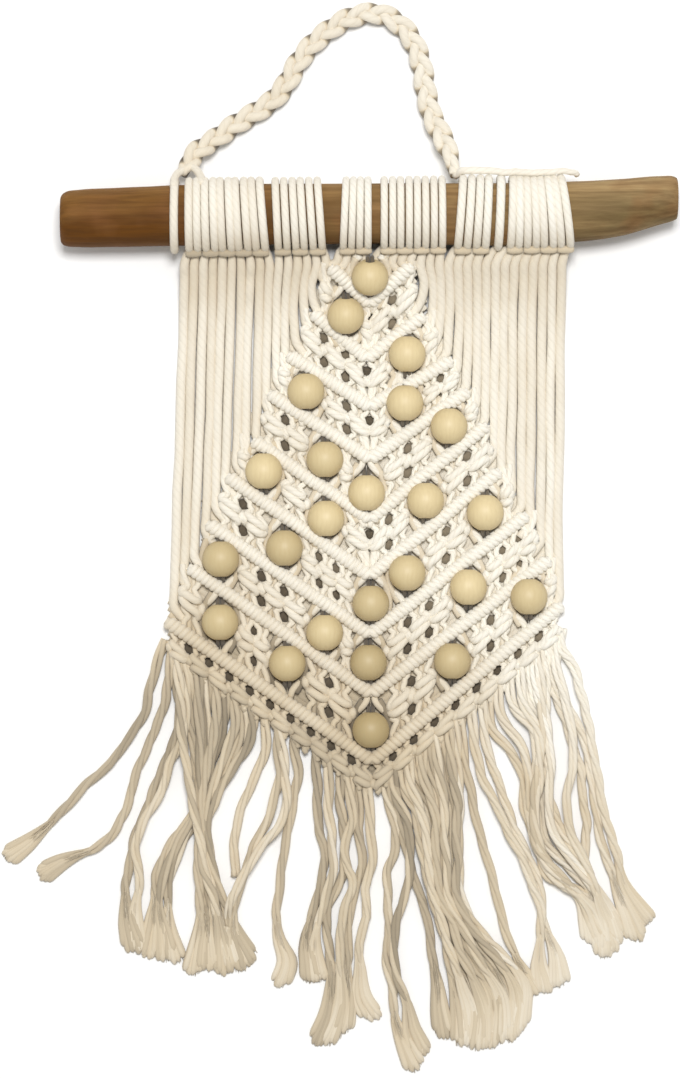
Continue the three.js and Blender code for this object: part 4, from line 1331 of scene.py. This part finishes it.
def bead_pieces(beads):
    """Turned beads, each with a bore along its cords and rounded lips."""
    material = bead_material()
    profile = bead_profile()
    out, along = profile[:, :1], profile[:, 1:]
    turn = round_angles(BEAD_SIDES)
    rows = np.broadcast_arrays(out * np.cos(turn), along, out * np.sin(turn))
    across, along, up = (row.ravel() for row in rows)
    index = np.arange(len(across)).reshape(-1, BEAD_SIDES)
    quads = ring_quads(np.roll(index, -1, 0), index)
    for number, (x, y, z) in enumerate(beads, 1):
        points = np.stack([across, *swung(along, up, math.atan(bead_tilt(y)))], axis=-1)
        step = (number in GREY_BEADS) + 2 * (number in DARK_BEADS) - (number in PALE_BEADS)
        tone = BEAD_TONE + BEAD_TONE_STEP * step + rng.uniform(-BEAD_UNEVEN, BEAD_UNEVEN)
        # Painted shade towards the bead's sides and underside
        low = np.clip(1 - points[:, 2] / BEAD_RADIUS, 0, 1)
        tone = tone + BEAD_SIDES_PAINTED_SHADE * low**BEAD_SIDE_POWER
        piece = mesh_piece(
            f"bead_turned_{number:02d}", points + (x, y, z), quads, [], material, {"tone": tone},
        )
        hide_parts(f"bead_{number:02d}")


# Fringe

def lock_strands():
    """Routes of the wide left lock, in the photograph's pixels."""
    rows = []
    left, right = range(LOCK_PARTING), range(LOCK_PARTING, LOCK_STRANDS)
    for numbers, ends in ((left, LOCK_LEFT_END), (right, LOCK_RIGHT_END)):
        for k in numbers:
            share = k / (LOCK_STRANDS - 1)
            root, waist = (between(*np.array(pair), share) for pair in (LOCK_ROOTS, LOCK_WAIST))
            middle = (root + waist) / 2 + LOCK_BOW
            fan = (k - numbers[0]) / (len(numbers) - 1)
            rest = [(x + fan * across, y + fan * down) for x, y, across, down in ends]
            rows.append(Strand(k % 2, LOCK_TUFT, [tuple(root), tuple(middle), tuple(waist), *rest]))
    return rows


def fringe_path(strand):
    """A strand's way over the floor from the hem to its tip."""
    flat = from_photo(strand.points)
    root = line_y(LINES[-1], flat[0, 0]) - HEM_ROW_DROP
    if flat[0, 1] < root - FRINGE_ROOT_GAP:
        flat = np.concatenate([[(flat[0, 0], root)], flat])
    rise = np.sin(np.linspace(0, 1, len(flat)) * math.pi) ** 0.5
    z = FRINGE_RADIUS + FRINGE_FLOAT + strand.level * FRINGE_LEVEL * rise
    z[0] = FRINGE_ROOT_HEIGHT
    path = smooth(np.column_stack([flat, z]), FRINGE_SPACING)
    count = len(path)
    waves = count / FRINGE_WAVE_POINTS
    drift = FRINGE_WANDER * smoothstep(np.linspace(0, FRINGE_LOOSE, count))
    path[:, 0] += drift * wander(count, 1.0, waves)
    path[:, 1] += drift * wander(count, FRINGE_WANDER_ALONG, waves)
    path[:, 2] = np.maximum(path[:, 2] + np.abs(wander(count, FRINGE_RISE, waves)), FRINGE_RADIUS)
    return path


def ply_paths(path):
    """The plies of a loose cord, which wind slowly round each other and part towards its tip."""
    lay = rng.uniform(*PLY_LAY)
    across, above = path_axes(path)
    along = distances(path)
    root = PLY_ROOT_PARTING * (1 - smoothstep(along / PLY_ROOT_LENGTH))
    apart = PLY_OFFSET * (1 + root + PLY_PARTING * smoothstep(2 * along / along[-1] - 1))
    start = rng.uniform(0, 2 * math.pi)
    turn = start + 2 * math.pi * (along / lay + np.arange(PLY_COUNT)[:, None] / PLY_COUNT)
    sideways = (apart * np.cos(turn))[..., None] * across
    paths = path + sideways + (PLY_FLAT * apart * np.sin(turn))[..., None] * above
    paths[..., 2] = np.maximum(paths[..., 2], PLY_RADIUS)
    return paths


def tuft_points(end, tuft, along, sideways):
    """Places on a brushed end, at shares along it and across its widening fan."""
    ahead = unit(end[-1] - end[0])
    across = np.array([ahead[1], -ahead[0], 0.0])
    arc = np.linspace(0, 1, len(end))
    points = np.stack([np.interp(along, arc, end[:, k]) for k in range(3)], axis=-1)
    points += (np.maximum(along - 1.0, 0.0) * tuft)[..., None] * ahead
    width = TUFT_ROOT + TUFT_SPREAD * min(1.0, tuft / TUFT_FULL_LENGTH) * along**TUFT_WIDENING
    return points + (sideways * width)[..., None] * across


def tuft_locks(end, tuft):
    """The soft locks that a brushed end parts into, their radius, and how far each has grown along it."""
    sideways = (np.linspace(-1, 1, TUFT_LOCKS) + rng.normal(0, TUFT_UNEVEN, TUFT_LOCKS))[:, None]
    reach = rng.uniform(*TUFT_REACH, (TUFT_LOCKS, 1)) - TUFT_SIDES_SHORT * sideways**2
    share = 1 - (1 - np.linspace(0, 1, TUFT_STEPS)) ** TUFT_CROWDING
    along = reach * share
    paths = tuft_points(end, tuft, along, sideways)
    rounded = np.sqrt(1 - TUFT_TIP * np.clip((share - 1 + TUFT_BLUNT) / TUFT_BLUNT, 0, 1) ** 2)
    grown = smoothstep(share / TUFT_GROWN)
    radius = TUFT_LOCK_RADIUS * between(TUFT_LOCK_START, 1.0, grown) * rounded
    lowered = smoothstep(along / TUFT_LOWERED)
    paths[..., 2] = between(TUFT_LOCK_FLAT * radius, paths[..., 2], 1 - lowered)
    paths[..., 2] += rng.uniform(0.0, TUFT_PILE, (TUFT_LOCKS, 1)) * lowered * rounded
    return paths, np.broadcast_to(radius, along.shape), grown


def tuft_fibres(end, tuft):
    """Fibres that leave the cord one after another and lie on the locks."""
    each = (FIBRES_PER_TUFT, 1)
    leave = rng.uniform(0.0, FIBRE_LEAVE, each)
    sideways = np.clip(rng.normal(0, FIBRE_SPREAD, each), -FIBRE_SPREAD_MOST, FIBRE_SPREAD_MOST)
    reach = rng.uniform(*FIBRE_REACH, each) - TUFT_SIDES_SHORT * sideways**2
    share = np.linspace(0, 1, FIBRE_STEPS)
    along = between(leave, reach, share)
    curl = rng.normal(0, FIBRE_CURL, each) * np.sin(share * math.pi)
    paths = tuft_points(end, tuft, along, sideways + curl)
    top = between(FRINGE_RADIUS, TUFT_LOCK_FLAT * TUFT_LOCK_RADIUS, smoothstep(along / TUFT_LOWERED))
    dome = np.sqrt(1 - FIBRE_DOME * np.minimum(sideways**2, 1.0)) * (1 - FIBRE_DROP * share**4)
    paths[..., 2] = np.maximum(2 * top * dome * rng.uniform(*FIBRE_HEIGHT, each), FIBRE_RADIUS)
    return paths


def fringe_piece(name, node, strands):
    """Loose cord ends on the floor, each with its brushed tip."""
    fringe = Cords()
    for strand in strands:
        path = fringe_path(strand)
        tone = rng.uniform(*FRINGE_TONE)
        if strand.tuft == 0:
            fringe.add(ply_paths(path), PLY_RADIUS, sides=PLY_SIDES, tone=tone)
            continue
        end = path[-max(TUFT_LEAST_POINTS, int(strand.tuft / FRINGE_SPACING)):]
        plies = ply_paths(path[:-len(end) // 2])
        whole = smoothstep(np.linspace(len(plies[0]) / PLY_FADING, 0.0, len(plies[0])))
        plies[..., 2] *= between(PLY_LOWEST, 1.0, whole)
        ply_tone = tone + TUFT_TONE * (1 - whole) + rng.normal(0.0, PLY_TONE, (PLY_COUNT, 1))
        fringe.add(plies, PLY_RADIUS * between(PLY_THINNEST, 1.0, whole), sides=PLY_SIDES, tone=ply_tone)
        locks, radius, grown = tuft_locks(end, strand.tuft)
        lock_tone = tone + TUFT_TONE * grown + rng.normal(0.0, TUFT_LOCK_TONE, (TUFT_LOCKS, 1))
        fringe.add(locks, radius, twist=0.0, flat=TUFT_LOCK_FLAT, tone=lock_tone)
        fibres = tuft_fibres(end, strand.tuft)
        fibre_tone = tone + TUFT_TONE + rng.normal(0.0, FIBRE_TONE, FIBRES_PER_TUFT)
        fringe.add(fibres, FIBRE_RADIUS, sides=FIBRE_SIDES, twist=0.0, tone=fibre_tone)
    fringe.piece(name, node)


# Stage

def build_stage():
    """A pale floor, an even bright room and a broad lamp from beyond the loop."""
    mesh = bpy.data.meshes.new("floor")
    corners = [(FLOOR_REACH * x, FLOOR_REACH * y, 0) for x, y in ((-1, -1), (1, -1), (1, 1), (-1, 1))]
    mesh.from_pydata(corners, [], [(0, 1, 2, 3)])
    mesh.materials.append(floor_material())
    floor = new_object("floor", mesh)
    floor.location.z = FLOOR_HEIGHT
    world = bpy.data.worlds.new("room")
    world.use_nodes = True
    background = world.node_tree.nodes["Background"]
    background.inputs["Color"].default_value = ROOM_COLOUR
    background.inputs["Strength"].default_value = ROOM_STRENGTH
    bpy.context.scene.world = world
    lamp = new_object("lamp", bpy.data.lights.new("lamp", "AREA"))
    lamp.data.size = LAMP_SIZE
    lamp.data.energy = LAMP_POWER
    lamp.location = LAMP_PLACE
    lamp.rotation_euler = (-Vector(LAMP_PLACE)).to_track_quat("-Z", "Y").to_euler()
    bpy.context.scene.view_settings.view_transform = "Standard"


aim_camera()
cotton = cotton_material()
hanger_piece()
tie_piece()
tail_piece()
rod_piece()
strand_starts = wrap_pieces()
strand_piece(strand_starts)
bar_piece()
bead_centres = bead_places()
knot_piece(bead_centres)
back_piece(bead_centres)
bead_cord_piece(bead_centres)
bead_pieces(bead_centres)
fringe_piece("fringe_cords_left", "fringe_left", FRINGE_LEFT + lock_strands())
fringe_piece("fringe_cords_right", "fringe_right", FRINGE_RIGHT)
build_stage()
